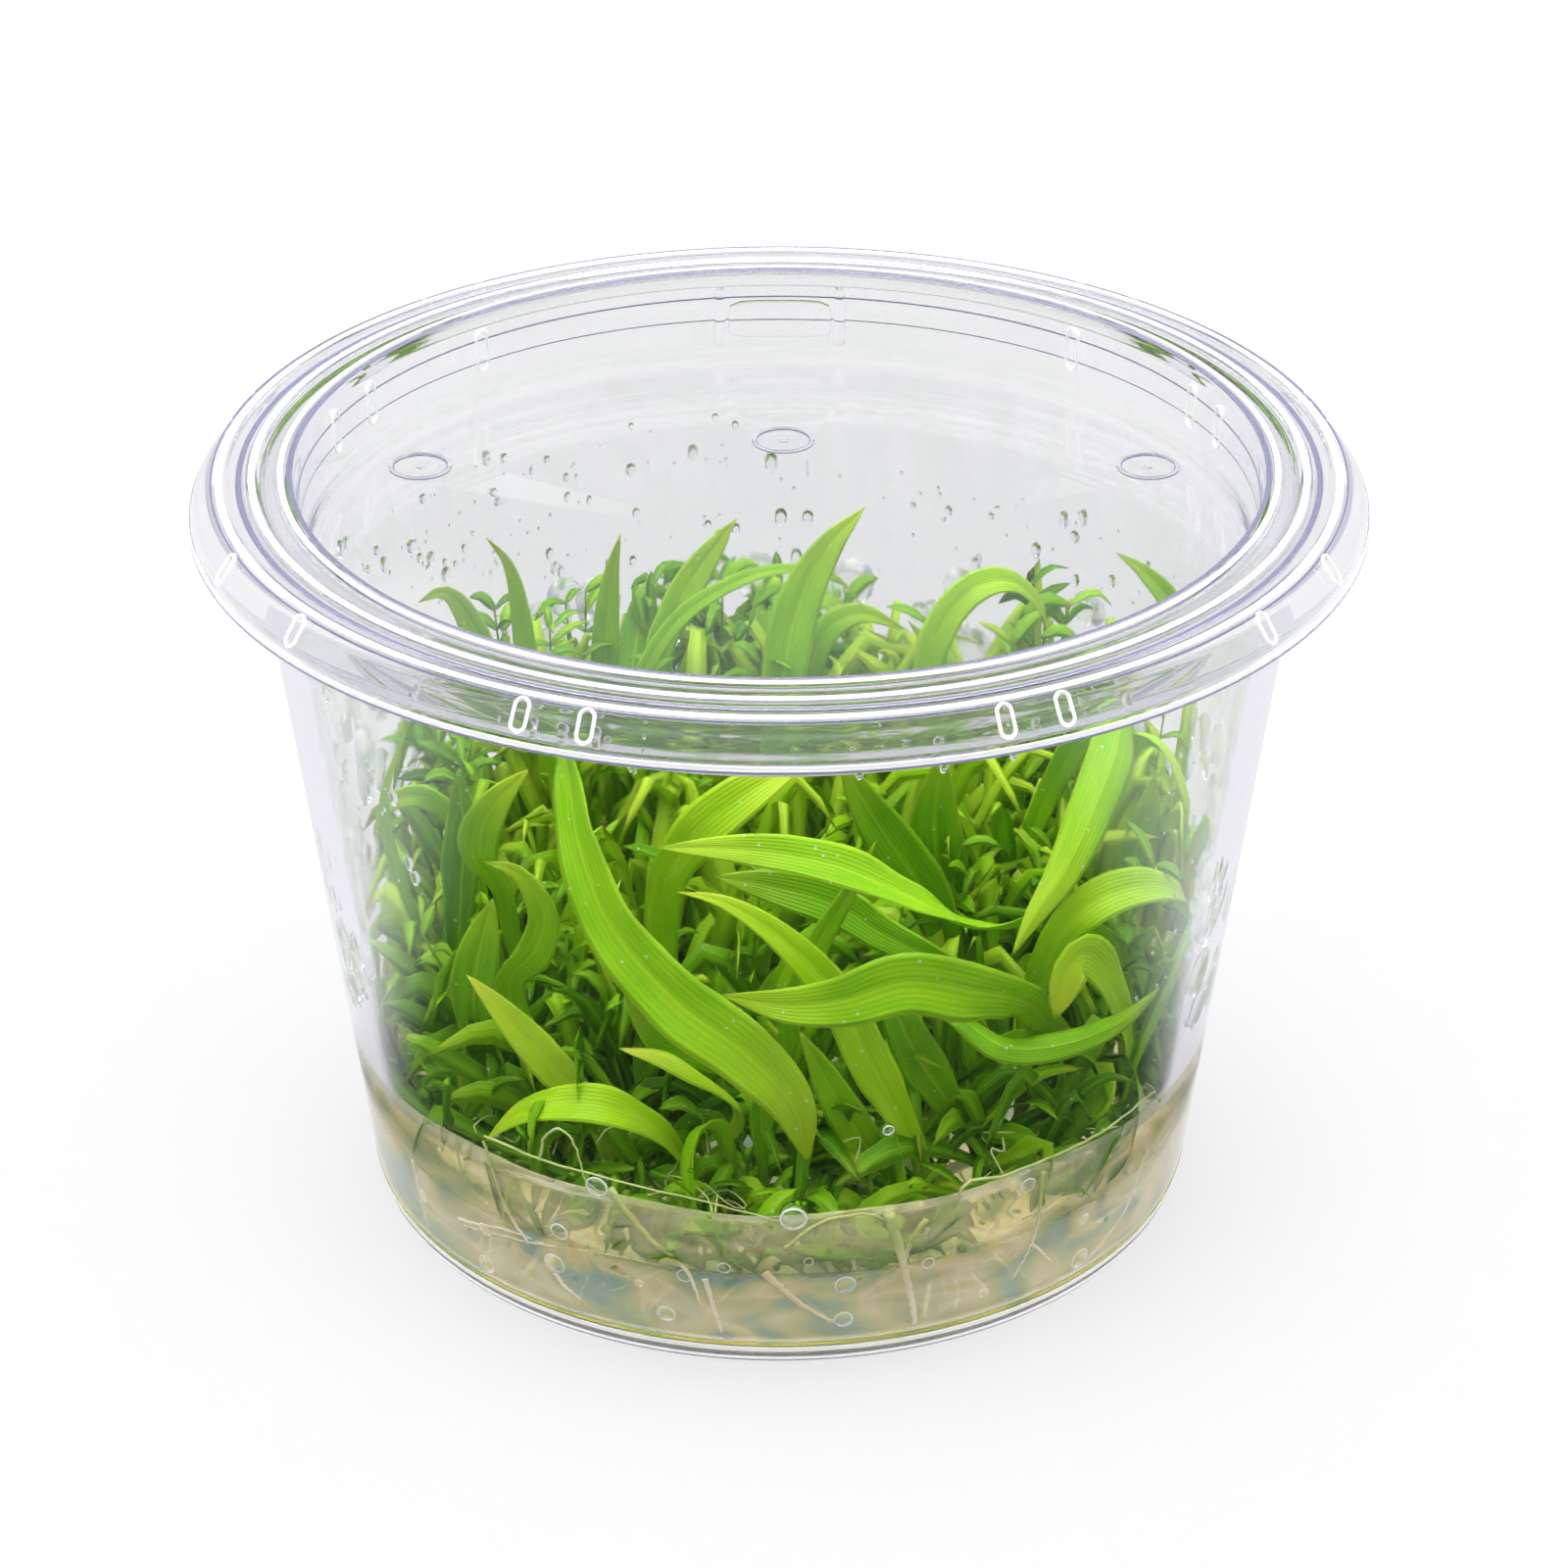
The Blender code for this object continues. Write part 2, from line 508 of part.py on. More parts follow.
def crown_roots(crowns):
    """Start and end of each root of a row of crowns."""
    roots = []
    for (x, y), tips in crowns:
        for tip in tips:
            heading = Vector((tip[0] - x, tip[1] - y, 0)).normalized()
            start = Vector((x, y, 12.0)) + 1.1 * heading
            roots.append((start, Vector(tip)))
    return roots


def build_gel(material):
    """Gel layer that climbs the wall as a thin film and has a pocket round each root."""
    film_outer = inner_radius(GEL_FILM_TOP) - GAP
    profile = [
        (0, FLOOR_TOP + GAP),
        (inner_radius(1.5) - 1.7, FLOOR_TOP + GAP),
        (inner_radius(3) - GAP, 3.4),
        (film_outer, GEL_FILM_TOP),
        (film_outer - GEL_FILM_THICKNESS, GEL_FILM_TOP),
        (inner_radius(GEL_TOP) - GAP - 2 * GEL_FILM_THICKNESS, GEL_TOP + 1.4),
        (inner_radius(GEL_TOP) - 3.0, GEL_TOP),
        (0, GEL_TOP),
    ]
    gel = make_object("gel", turned(profile), material)
    pockets = bmesh.new()
    room = GAP + 0.15
    for crowns in RUNNERS.values():
        for start, end in crown_roots(crowns):
            along = (end - start).normalized()
            add_cone(pockets, start, end + room * along, ROOT_RADIUS + room, ROOT_TIP_RADIUS + room)
    combine(gel, make_guide("root_pockets", pockets), "DIFFERENCE")
    return gel


def build_runner(name, crowns, material):
    """Crowns in a row on one creeping runner, with their main roots."""
    bulbs = bmesh.new()
    profile = [(0, CROWN_BOTTOM), (1.5, CROWN_BOTTOM), (CROWN_RADIUS, 11.6), (2.0, 13.2), (1.0, CROWN_TOP),
               (0, CROWN_TOP)]
    for (x, y), _ in crowns:
        bulb = turned(profile, segments=7)
        bmesh.ops.translate(bulb, verts=bulb.verts, vec=(x * MM, y * MM, 0))
        copy = bpy.data.meshes.new("bulb")
        bulb.to_mesh(copy)
        bulb.free()
        bulbs.from_mesh(copy)
    runner = make_object(name, bulbs, material)
    links = bmesh.new()
    for ((x0, y0), _), ((x1, y1), _) in zip(crowns, crowns[1:]):
        away = Vector((x1 - x0, y1 - y0, 0)).normalized()
        start = Vector((x0, y0, RUNNER_HEIGHT)) + 0.9 * away
        end = Vector((x1, y1, RUNNER_HEIGHT)) - 0.9 * away
        add_cone(links, start, end, RUNNER_RADIUS, RUNNER_RADIUS)
    combine(runner, make_guide(name + "_links", links), "UNION")
    roots = bmesh.new()
    for start, end in crown_roots(crowns):
        add_cone(roots, start, end, ROOT_RADIUS, ROOT_TIP_RADIUS)
    combine(runner, make_guide(name + "_roots", roots), "UNION")
    return runner


def build_leaves(material):
    """Every strap leaf as its own blade."""
    leaves = []
    for number, (width, widest, base_face, tip_face, route) in enumerate(LEAVES, start=1):
        blade = leaf_solid(width, widest, base_face, tip_face, route)
        leaves.append(make_object(f"leaf_{number:02d}", blade, material))
    return leaves


def build_plantlet(number, place, height, turn, material):
    """Upright stem with small spoon leaves in a rising spiral."""
    stem = bmesh.new()
    add_cone(stem, (0, 0, 0), (0, 0, height), PLANTLET_STEM_RADIUS, 0.5 * PLANTLET_STEM_RADIUS, sides=5)
    plantlet = make_object(f"plantlet_{number}", stem, material)
    leaves = bmesh.new()
    count = int((height - 5) / PLANTLET_LEAF_STEP)
    for k in range(count):
        angle = math.radians(GOLDEN_ANGLE * k)
        base = Vector((0, 0, 4 + k * PLANTLET_LEAF_STEP))
        out = Vector((math.cos(angle), math.sin(angle), 0.75)).normalized()
        side = out.cross(Vector((0, 0, 1))).normalized()
        up = side.cross(out)
        middle = base + 0.62 * PLANTLET_LEAF_LENGTH * out
        half = 0.5 * PLANTLET_LEAF_WIDTH * side
        skin = 0.3 * up
        tip = leaves.verts.new((base + PLANTLET_LEAF_LENGTH * out) * MM)
        root = leaves.verts.new((base + 0.1 * out) * MM)
        ring = [leaves.verts.new(p * MM) for p in (middle - half, middle + skin, middle + half, middle - skin)]
        for one, after in zip(ring, ring[1:] + ring[:1]):
            leaves.faces.new((one, after, tip))
            leaves.faces.new((after, one, root))
    guide = make_guide(f"plantlet_{number}_leaves", leaves)
    guide.parent = plantlet
    combine(plantlet, guide, "UNION")
    plantlet.location = (place[0] * MM, place[1] * MM, PLANTLET_BOTTOM * MM)
    plantlet.rotation_euler.z = math.radians(turn)
    return plantlet


def main():
    """Clears the scene and builds every piece."""
    for old in list(bpy.data.objects):
        bpy.data.objects.remove(old, do_unlink=True)
    plastic = make_material("clear_polypropylene", (0.86, 0.87, 0.92), 0.08, transmission=0.9)
    agar = make_material("agar_gel", (0.60, 0.56, 0.36), 0.12, transmission=0.6)
    blade = make_material("strap_leaf", (0.16, 0.42, 0.02), 0.42)
    crown = make_material("crown_and_root", (0.50, 0.52, 0.22), 0.5)
    bush = make_material("plantlet_leaf", (0.10, 0.30, 0.02), 0.45)
    build_cup(plastic)
    build_lid(plastic)
    build_gel(agar)
    plants = [build_runner(name, crowns, crown) for name, crowns in RUNNERS.items()]
    plants += build_leaves(blade)
    for number, (place, height, turn) in enumerate(PLANTLETS, start=1):
        plants.append(build_plantlet(number, place, height, turn, bush))
    clump = bpy.data.objects.new("clump", None)
    bpy.context.scene.collection.objects.link(clump)
    for plant in plants:
        plant.parent = clump


main()
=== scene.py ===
"""Looks of young chain sword plants on agar gel in a round clear tub with its lid pressed on.

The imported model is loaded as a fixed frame. Sizes are in millimetres, and a mesh is turned to metres
when it is made. The tub stands on z = 0, its axis is the Z axis and -Y is the front.
"""

import logging
import math
from collections.abc import Callable
from dataclasses import dataclass, field
from enum import Enum
from functools import partial

import bpy
import numpy as np
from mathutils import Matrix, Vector


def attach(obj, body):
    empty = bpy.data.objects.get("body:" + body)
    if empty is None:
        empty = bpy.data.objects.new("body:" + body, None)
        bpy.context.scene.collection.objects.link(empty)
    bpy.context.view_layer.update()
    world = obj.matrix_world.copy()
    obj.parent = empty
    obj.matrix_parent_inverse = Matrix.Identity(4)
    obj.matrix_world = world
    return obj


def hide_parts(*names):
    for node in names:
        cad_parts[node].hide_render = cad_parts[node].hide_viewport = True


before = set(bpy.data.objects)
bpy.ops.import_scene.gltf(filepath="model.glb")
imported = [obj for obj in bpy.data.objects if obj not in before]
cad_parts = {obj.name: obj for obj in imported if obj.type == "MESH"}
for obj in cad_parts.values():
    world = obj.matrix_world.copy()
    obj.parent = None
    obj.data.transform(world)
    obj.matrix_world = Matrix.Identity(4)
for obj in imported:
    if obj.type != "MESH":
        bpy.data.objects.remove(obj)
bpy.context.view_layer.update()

Array = np.ndarray
Draws = np.random.Generator
Material = bpy.types.Material
Socket = bpy.types.NodeSocket
Adder = Callable[..., Socket]
Rows = tuple[tuple[float, ...], ...]

log = logging.getLogger("tub")

MM = 0.001
BODY = "root"
TURN = 2 * math.pi
UP = np.array([0.0, 0.0, 1.0])

# The tub's wall, as the solids have it
BASE_RADIUS = 42.9
WALL_SLOPE = 0.128
WALL_THICKNESS = 1.5
FLOOR_TOP = 1.5
GEL_TOP = 10.3
FILM_TOP = 19.0
CROWN_TOP = 14.5
ROUND_STEPS = 224

# Mirrorings inside clear plastic after which light leaves it
MOST_MIRRORINGS = 2.5


class Age(Enum):
    """How old a strap leaf is: its place in the run of leaf greens, and how yellow its tip is. SHADED is no age: its
    darker green is painted shade.
    """

    # Painted shade: a darker green for a leaf that stands in shade
    SHADED = (0.22, 0.10)
    GROWN = (0.48, 0.30)
    FRESH = (0.66, 0.40)
    BRIGHT = (0.85, 0.50)
    PALE = (0.98, 0.90)


class Face(Enum):
    """Direction that a leaf's upper face looks to."""

    TO_FRONT = (0.0, -0.85, 0.5)
    UP_FRONT = (0.0, -0.5, 0.85)
    UP = (0.0, -0.1, 1.0)
    TO_LEFT = (-0.7, -0.6, 0.4)
    TO_RIGHT = (0.7, -0.6, 0.4)
    TO_BACK = (0.0, 0.8, 0.6)


class Slot(Enum):
    """Material slots of the record."""

    PLASTIC = "clear_polypropylene"
    GEL = "agar_gel"
    STRAP = "strap_leaf"
    SMALL = "plantlet_leaf"
    ROOT = "crown_and_root"


def wall_radius(height: float | Array) -> float | Array:
    """Outer radius of the tub's wall at a height."""
    return BASE_RADIUS + WALL_SLOPE * height


def inner_radius(height: float | Array) -> float | Array:
    """Inner radius of the tub's wall at a height."""
    return wall_radius(height) - WALL_THICKNESS


def unit(vectors: Array) -> Array:
    """The vectors at length 1."""
    return vectors / np.maximum(np.linalg.norm(vectors, axis=-1, keepdims=True), 1e-9)


def linear(code: str) -> tuple[float, ...]:
    """Linear colour, with alpha, of an sRGB hex value."""
    parts = [int(code[k:k + 2], 16) / 255 for k in (1, 3, 5)]
    return (*[c / 12.92 if c <= 0.04045 else ((c + 0.055) / 1.055) ** 2.4 for c in parts], 1.0)


# Meshes


def circle(count: int) -> Array:
    """Cosine and sine of even steps round a circle, one row for each step."""
    turns = TURN * np.arange(count) / count
    return np.stack([np.cos(turns), np.sin(turns)], 1)


def ring(centre: Array, one: Array, other: Array, count: int) -> Array:
    """Points round an ellipse, one row each.

    Args:
        centre: its middle.
        one: its first half-axis.
        other: its second half-axis.
        count: number of points.
    """
    return centre + circle(count) @ np.array([one, other])


@dataclass
class Draft:
    """A mesh being built: vertices in millimetres, faces, and map values for each vertex."""

    verts: list[Array] = field(default_factory=list)
    faces: list[tuple[int, ...]] = field(default_factory=list)
    maps: dict[str, list[Array]] = field(default_factory=dict)
    count: int = 0

    def add(self, verts: Array, faces: list[tuple[int, ...]], maps: dict[str, Array]) -> None:
        """Adds vertices with their faces and map values.

        Args:
            verts: vertex places, one row each.
            faces: vertex numbers of each face, counted from this part's first vertex.
            maps: for each map, a pair of values for every vertex.
        """
        self.verts.append(verts)
        self.faces += [tuple(self.count + k for k in face) for face in faces]
        for name, values in maps.items():
            self.maps.setdefault(name, []).append(values)
        self.count += len(verts)

    def loft(self, rings: Array | list[Array], tip: Array | None = None, foot: Array | None = None,
             maps: dict[str, Array] | None = None, looped: bool = False) -> None:
        """Adds a closed skin over a row of rings.

        Args:
            rings: points as (ring, point, xyz).
            tip: point that closes the far end, or None for a flat end.
            foot: point that closes the near end, or None for a flat end.
            maps: for each map, values as (ring, point, pair).
            looped: the last ring joins the first one, and there are no ends.
        """
        rings = np.asarray(rings)
        rows, across = rings.shape[:2]
        verts = rings.reshape(-1, 3)
        values = {name: value.reshape(-1, 2) for name, value in (maps or {}).items()}
        around = [(k, (k + 1) % across) for k in range(across)]
        starts = [(r * across, (r + 1) % rows * across) for r in range(rows if looped else rows - 1)]
        faces = [(here + k, here + n, ahead + n, ahead + k) for here, ahead in starts for k, n in around]
        last = (rows - 1) * across
        for point, start, way in (() if looped else ((foot, 0, -1), (tip, last, 1))):
            if point is None:
                faces.append(tuple(start + k for k in range(across))[::way])
                continue
            faces += [(start + k, start + n, len(verts))[::way] for k, n in around]
            verts = np.vstack([verts, point])
            values = {name: np.vstack([value, value[start:start + across].mean(0)]) for name, value in values.items()}
        self.add(verts, faces, values)

    def mesh(self, name: str, sharp: float | None = None) -> bpy.types.Mesh:
        """Makes the mesh, in metres, shaded smooth and with its maps as UV maps.

        Args:
            name: its name.
            sharp: edges that turn more than this many degrees stay sharp, or None for none.

        Returns:
            The mesh.
        """
        made = bpy.data.meshes.new(name)
        made.from_pydata((np.vstack(self.verts) * MM).tolist(), [], self.faces)
        corners = np.zeros(len(made.loops), np.int64)
        made.loops.foreach_get("vertex_index", corners)
        for layer, values in self.maps.items():
            uv = made.uv_layers.new(name=layer)
            uv.data.foreach_set("uv", np.vstack(values)[corners].astype(np.float32).ravel())
        made.shade_smooth()
        if sharp is not None:
            made.set_sharp_from_angle(angle=math.radians(sharp))
        made.validate()
        return made


def place_object(name: str, data: bpy.types.ID) -> bpy.types.Object:
    """Puts a mesh, lamp or camera in the scene.

    Args:
        name: its name.
        data: its mesh, lamp or camera data.

    Returns:
        The object.
    """
    made = bpy.data.objects.new(name, data)
    bpy.context.scene.collection.objects.link(made)
    return made


def make_piece(name: str, shape: Draft | bpy.types.Mesh, material: Material, slot: Slot,
               replaces: tuple[str, ...] = (), sharp: float | None = None) -> bpy.types.Object:
    """Puts a piece of the object in the scene, riding on its body.

    Args:
        name: what a person would call it.
        shape: its draft or mesh.
        material: its finish.
        slot: the record's material slot that the finish belongs to; not used.
        replaces: nodes of the frame that it stands for.
        sharp: as for Draft.mesh.

    Returns:
        The piece.
    """
    mesh = shape.mesh(name, sharp) if isinstance(shape, Draft) else shape
    mesh.materials.clear()
    mesh.materials.append(material)
    piece = place_object(name, mesh)
    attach(piece, BODY)
    if replaces:
        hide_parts(*replaces)
    log.info("%s: %d faces", name, len(mesh.polygons))
    return piece


def rounded(corners: list[tuple[float, ...]], fine: int = 5) -> list[Array]:
    """Outline with its corners rounded.

    Args:
        corners: (radius, height) or (radius, height, fillet) for each corner.
        fine: points on each fillet.

    Returns:
        (radius, height) points of the outline.
    """
    points = []
    flat = np.array([corner[:2] for corner in corners])
    for k, (here, corner) in enumerate(zip(flat, corners)):
        if len(corner) < 3:
            points.append(here)
            continue
        before, after = flat[k - 1] - here, flat[k + 1] - here
        reach = min(corner[2], 0.48 * np.linalg.norm(before), 0.48 * np.linalg.norm(after))
        start, end = here + reach * unit(before), here + reach * unit(after)
        points += [(1 - t) ** 2 * start + 2 * t * (1 - t) * here + t ** 2 * end for t in np.linspace(0, 1, fine)]
    return points


def turned(profile: list[Array]) -> Draft:
    """Closed solid turned about the Z axis, from (radius, height) points that start and end on it.

    Args:
        profile: (radius, height) points.

    Returns:
        The draft of the solid.
    """
    draft = Draft()
    low, *middle, high = profile
    rings = [ring(z * UP, np.array([r, 0, 0]), np.array([0, r, 0]), ROUND_STEPS) for r, z in middle]
    draft.loft(rings, tip=high[1] * UP, foot=low[1] * UP)
    return draft


def bands(rows: Rows, steps: int = ROUND_STEPS, centres: Rows = ((0.0, 0.0),)) -> Draft:
    """Thin rounded bands round upright axes.

    Args:
        rows: (radius, height, half-width, half-height) of each band.
        steps: steps round an axis.
        centres: x and y of each axis.

    Returns:
        The draft of the bands.
    """
    draft = Draft()
    ways = [np.array([c, s, 0.0]) for c, s in circle(steps)]
    for centre in centres:
        for radius, height, wide, high in rows:
            middle = np.array([*centre, height])
            draft.loft([ring(middle + radius * way, wide * way, -high * UP, 8) for way in ways], looped=True)
    return draft


def smooth_route(points: list[tuple[float, ...]] | Array, count: int) -> Array:
    """Evenly spaced points on a Catmull-Rom curve.

    Args:
        points: corners that the curve passes through.
        count: number of points wanted.

    Returns:
        The points, one row each.
    """
    corners = np.array(points, float)
    corners = np.vstack([2 * corners[0] - corners[1], corners, 2 * corners[-1] - corners[-2]])
    t = np.linspace(0, 1, 12, endpoint=False)[:, None]
    fine = [0.5 * (2 * b + (c - a) * t + (2 * a - 5 * b + 4 * c - d) * t ** 2 + (3 * b - a - 3 * c + d) * t ** 3)
            for a, b, c, d in zip(corners, corners[1:], corners[2:], corners[3:])]
    fine = np.vstack([*fine, corners[-2:-1]])
    lengths = np.r_[0, np.cumsum(np.linalg.norm(np.diff(fine, axis=0), axis=1))]
    wanted = np.linspace(0, lengths[-1], count)
    return np.stack([np.interp(wanted, lengths, fine[:, k]) for k in range(3)], 1)


def route_length(points: Array) -> float:
    """Length of a row of points."""
    return float(np.linalg.norm(np.diff(points, axis=0), axis=1).sum())


def headings(places: Array) -> Array:
    """Direction of a route at each of its points.

    Args:
        places: the points, one row each.

    Returns:
        A direction for each point.
    """
    ahead = np.vstack([places[1:] - places[:-1], places[-1:] - places[-2:-1]])
    ahead[1:-1] = places[2:] - places[:-2]
    return unit(ahead)


def on_wall(angle: float, height: float, inset: float = 0.0) -> Array:
    """Place at the tub's inner wall.

    Args:
        angle: degrees from the front, positive to the right.
        height: height of the place.
        inset: distance in from the wall.

    Returns:
        The place.
    """
    turn, radius = math.radians(angle), inner_radius(height) - inset
    return np.array([radius * math.sin(turn), -radius * math.cos(turn), height])


def wall_ways(angle: float) -> tuple[Array, Array, Array]:
    """Ways along, up and out of the wall, at degrees from the front.

    Args:
        angle: degrees from the front.

    Returns:
        The three ways, each at length 1.
    """
    turn = math.radians(angle)
    out = unit(np.array([math.sin(turn), -math.cos(turn), -WALL_SLOPE]))
    side = np.array([math.cos(turn), math.sin(turn), 0.0])
    return side, np.cross(out, side), out


def kept_in(places: Array, clearance: float, lowest: float) -> Array:
    """Draws places in from the wall and up from the floor where they would reach them.

    Args:
        places: the places, one row each.
        clearance: least distance from the wall.
        lowest: least height.

    Returns:
        The places that result.
    """
    kept = places.copy()
    kept[:, 2] = np.maximum(kept[:, 2], lowest)
    spread = np.maximum(np.hypot(kept[:, 0], kept[:, 1]), 1e-6)
    kept[:, :2] *= np.minimum(1.0, (inner_radius(kept[:, 2]) - clearance) / spread)[:, None]
    return kept


# Materials


def add_node(tree: bpy.types.NodeTree, kind: str, inputs: dict[str | int, object] | None = None,
             out: int | str = 0, **settings: object) -> Socket | None:
    """Adds a node with its settings and links.

    Args:
        tree: the nodes that it joins.
        kind: its type, without ShaderNode.
        inputs: for each input, its value or the socket that feeds it.
        out: the output that is wanted.
        settings: its properties.

    Returns:
        The wanted output, or None where the node has no output.
    """
    made = tree.nodes.new("ShaderNode" + kind)
    for name, value in settings.items():
        setattr(made, name, value)
    for name, value in (inputs or {}).items():
        if isinstance(value, Socket):
            tree.links.new(value, made.inputs[name])
        else:
            made.inputs[name].default_value = value
    return made.outputs[out] if len(made.outputs) else None


def new_material(name: str) -> tuple[Material, Adder]:
    """An empty material, and the function that adds nodes to it.

    Args:
        name: the material's name.

    Returns:
        The material and the function.
    """
    made = bpy.data.materials.new(name)
    made.use_nodes = True
    made.node_tree.nodes.clear()
    return made, partial(add_node, made.node_tree)


def set_stops(colour: Socket, stops: list[tuple[float, str]]) -> Socket:
    """Sets the stops of a colour ramp.

    Args:
        colour: the ramp's colour output.
        stops: (place, sRGB hex value) of each stop.

    Returns:
        The same output.
    """
    elements = colour.node.color_ramp.elements
    elements.remove(elements[-1])
    elements[0].position, elements[0].color = stops[0][0], linear(stops[0][1])
    for place, code in stops[1:]:
        elements.new(place).color = linear(code)
    return colour


def clear_finish(add: Adder, inputs: dict[str, object], shade: str) -> None:
    """Finishes a clear material, which lets the lamps' light reach what stands in it.

    Args:
        add: adds nodes to the material.
        inputs: inputs of its shader.
        shade: sRGB hex value of the light that it lets through.
    """
    path = add("LightPath").node.outputs
    passes = add("Math", {0: path["Is Shadow Ray"], 1: path["Is Diffuse Ray"]}, operation="MAXIMUM")
    caught = add("Math", {0: path["Glossy Depth"], 1: MOST_MIRRORINGS}, operation="GREATER_THAN")
    passes = add("Math", {0: passes, 1: caught}, operation="MAXIMUM")
    open_way = add("BsdfTransparent", {"Color": linear(shade)})
    surface = add("MixShader", {0: passes, 1: add("BsdfPrincipled", inputs), 2: open_way})
    add("OutputMaterial", {"Surface": surface})


def living_finish(add: Adder, inputs: dict[str, object], glow: float) -> None:
    """Finishes living skin, which light from behind shines through.

    Args:
        add: adds nodes to the material.
        inputs: inputs of its shader.
        glow: share of the light that comes through.
    """
    through = add("BsdfTranslucent", {"Color": inputs["Base Color"], "Normal": inputs["Normal"]})
    add("OutputMaterial", {"Surface": add("MixShader", {0: glow, 1: add("BsdfPrincipled", inputs), 2: through})})


@dataclass(frozen=True)
class MouldedClearPlastic:
    """Clear polypropylene, injection moulded in a polished or a spark-eroded tool.

    The eye gets crisp glints on rounded rims, a faint lavender cast where the light crosses
    much plastic, and a slight ripple where the sheet cooled.
    """

    name: str
    tint: str = "#FAFAFB"
    shadow: str = "#FDFDFE"
    ior: float = 1.49
    roughness: float = 0.015
    haze_roughness: float = 0.05
    clearness: float = 1.0
    ripple_mm: float = 14.0
    ripple_height_mm: float = 0.02

    def material(self) -> Material:
        """The clear plastic.

        Returns:
            The material.
        """
        made, add = new_material(self.name)
        cloud = add("TexNoise", {"Vector": add("TexCoord", out="Object"), "Scale": 1 / (self.ripple_mm * MM),
                                 "Detail": 2.0}, "Fac")
        rough = add("MapRange", {"Value": cloud, "From Min": 0.45, "From Max": 0.75, "To Min": self.roughness,
                                 "To Max": self.haze_roughness})
        bump = add("Bump", {"Height": cloud, "Strength": 0.6, "Distance": self.ripple_height_mm * MM})
        clear_finish(add, {"Base Color": linear(self.tint), "IOR": self.ior, "Transmission Weight": self.clearness,
                           "Roughness": rough, "Normal": bump}, self.shadow)
        return made


@dataclass(frozen=True)
class SetAgarGel:
    """Agar gel, poured warm and set, clouded by what the plants leave in it.

    The eye gets a wet, milky depth, with painted soft cream patches of light and blue-grey patches of
    shade, as the leaves and the white ground would throw them into it. The film that climbs the wall is nearly clear.
    """

    name: str
    clearness: float
    shadow: str = "#F6F6F0"
    cream: str = "#FFF6D6"
    pale: str = "#F0E6B4"
    grey: str = "#B0CAC2"
    green: str = "#D0DCB0"
    ior: float = 1.34
    roughness: float = 0.03
    patch_mm: float = 10.0
    grain_mm: float = 2.5

    def material(self) -> Material:
        """The gel.

        Returns:
            The material.
        """
        made, add = new_material(self.name)
        where = add("TexCoord", out="Object")
        flat = add("Mapping", {"Vector": where, "Scale": (1.0, 1.0, 2.2)})
        patch = add("TexNoise", {"Vector": flat, "Scale": 1 / (self.patch_mm * MM), "Detail": 1.5,
                                 "Distortion": 0.5}, "Fac")
        # Painted light and shade: cream patches stand for light and blue-grey ones for shade thrown into the gel
        colour = set_stops(add("ValToRGB", {"Fac": patch}),
                           [(0.36, self.grey), (0.44, self.green), (0.5, self.pale), (0.56, self.cream),
                            (0.64, self.pale), (0.7, self.grey)])
        fine = add("TexNoise", {"Vector": where, "Scale": 1 / (self.grain_mm * MM), "Detail": 2.0}, "Fac")
        bump = add("Bump", {"Height": fine, "Strength": 0.3, "Distance": 0.15 * MM})
        clear_finish(add, {"Base Color": colour, "IOR": self.ior, "Transmission Weight": self.clearness,
                           "Roughness": self.roughness, "Normal": bump}, self.shadow)
        return made


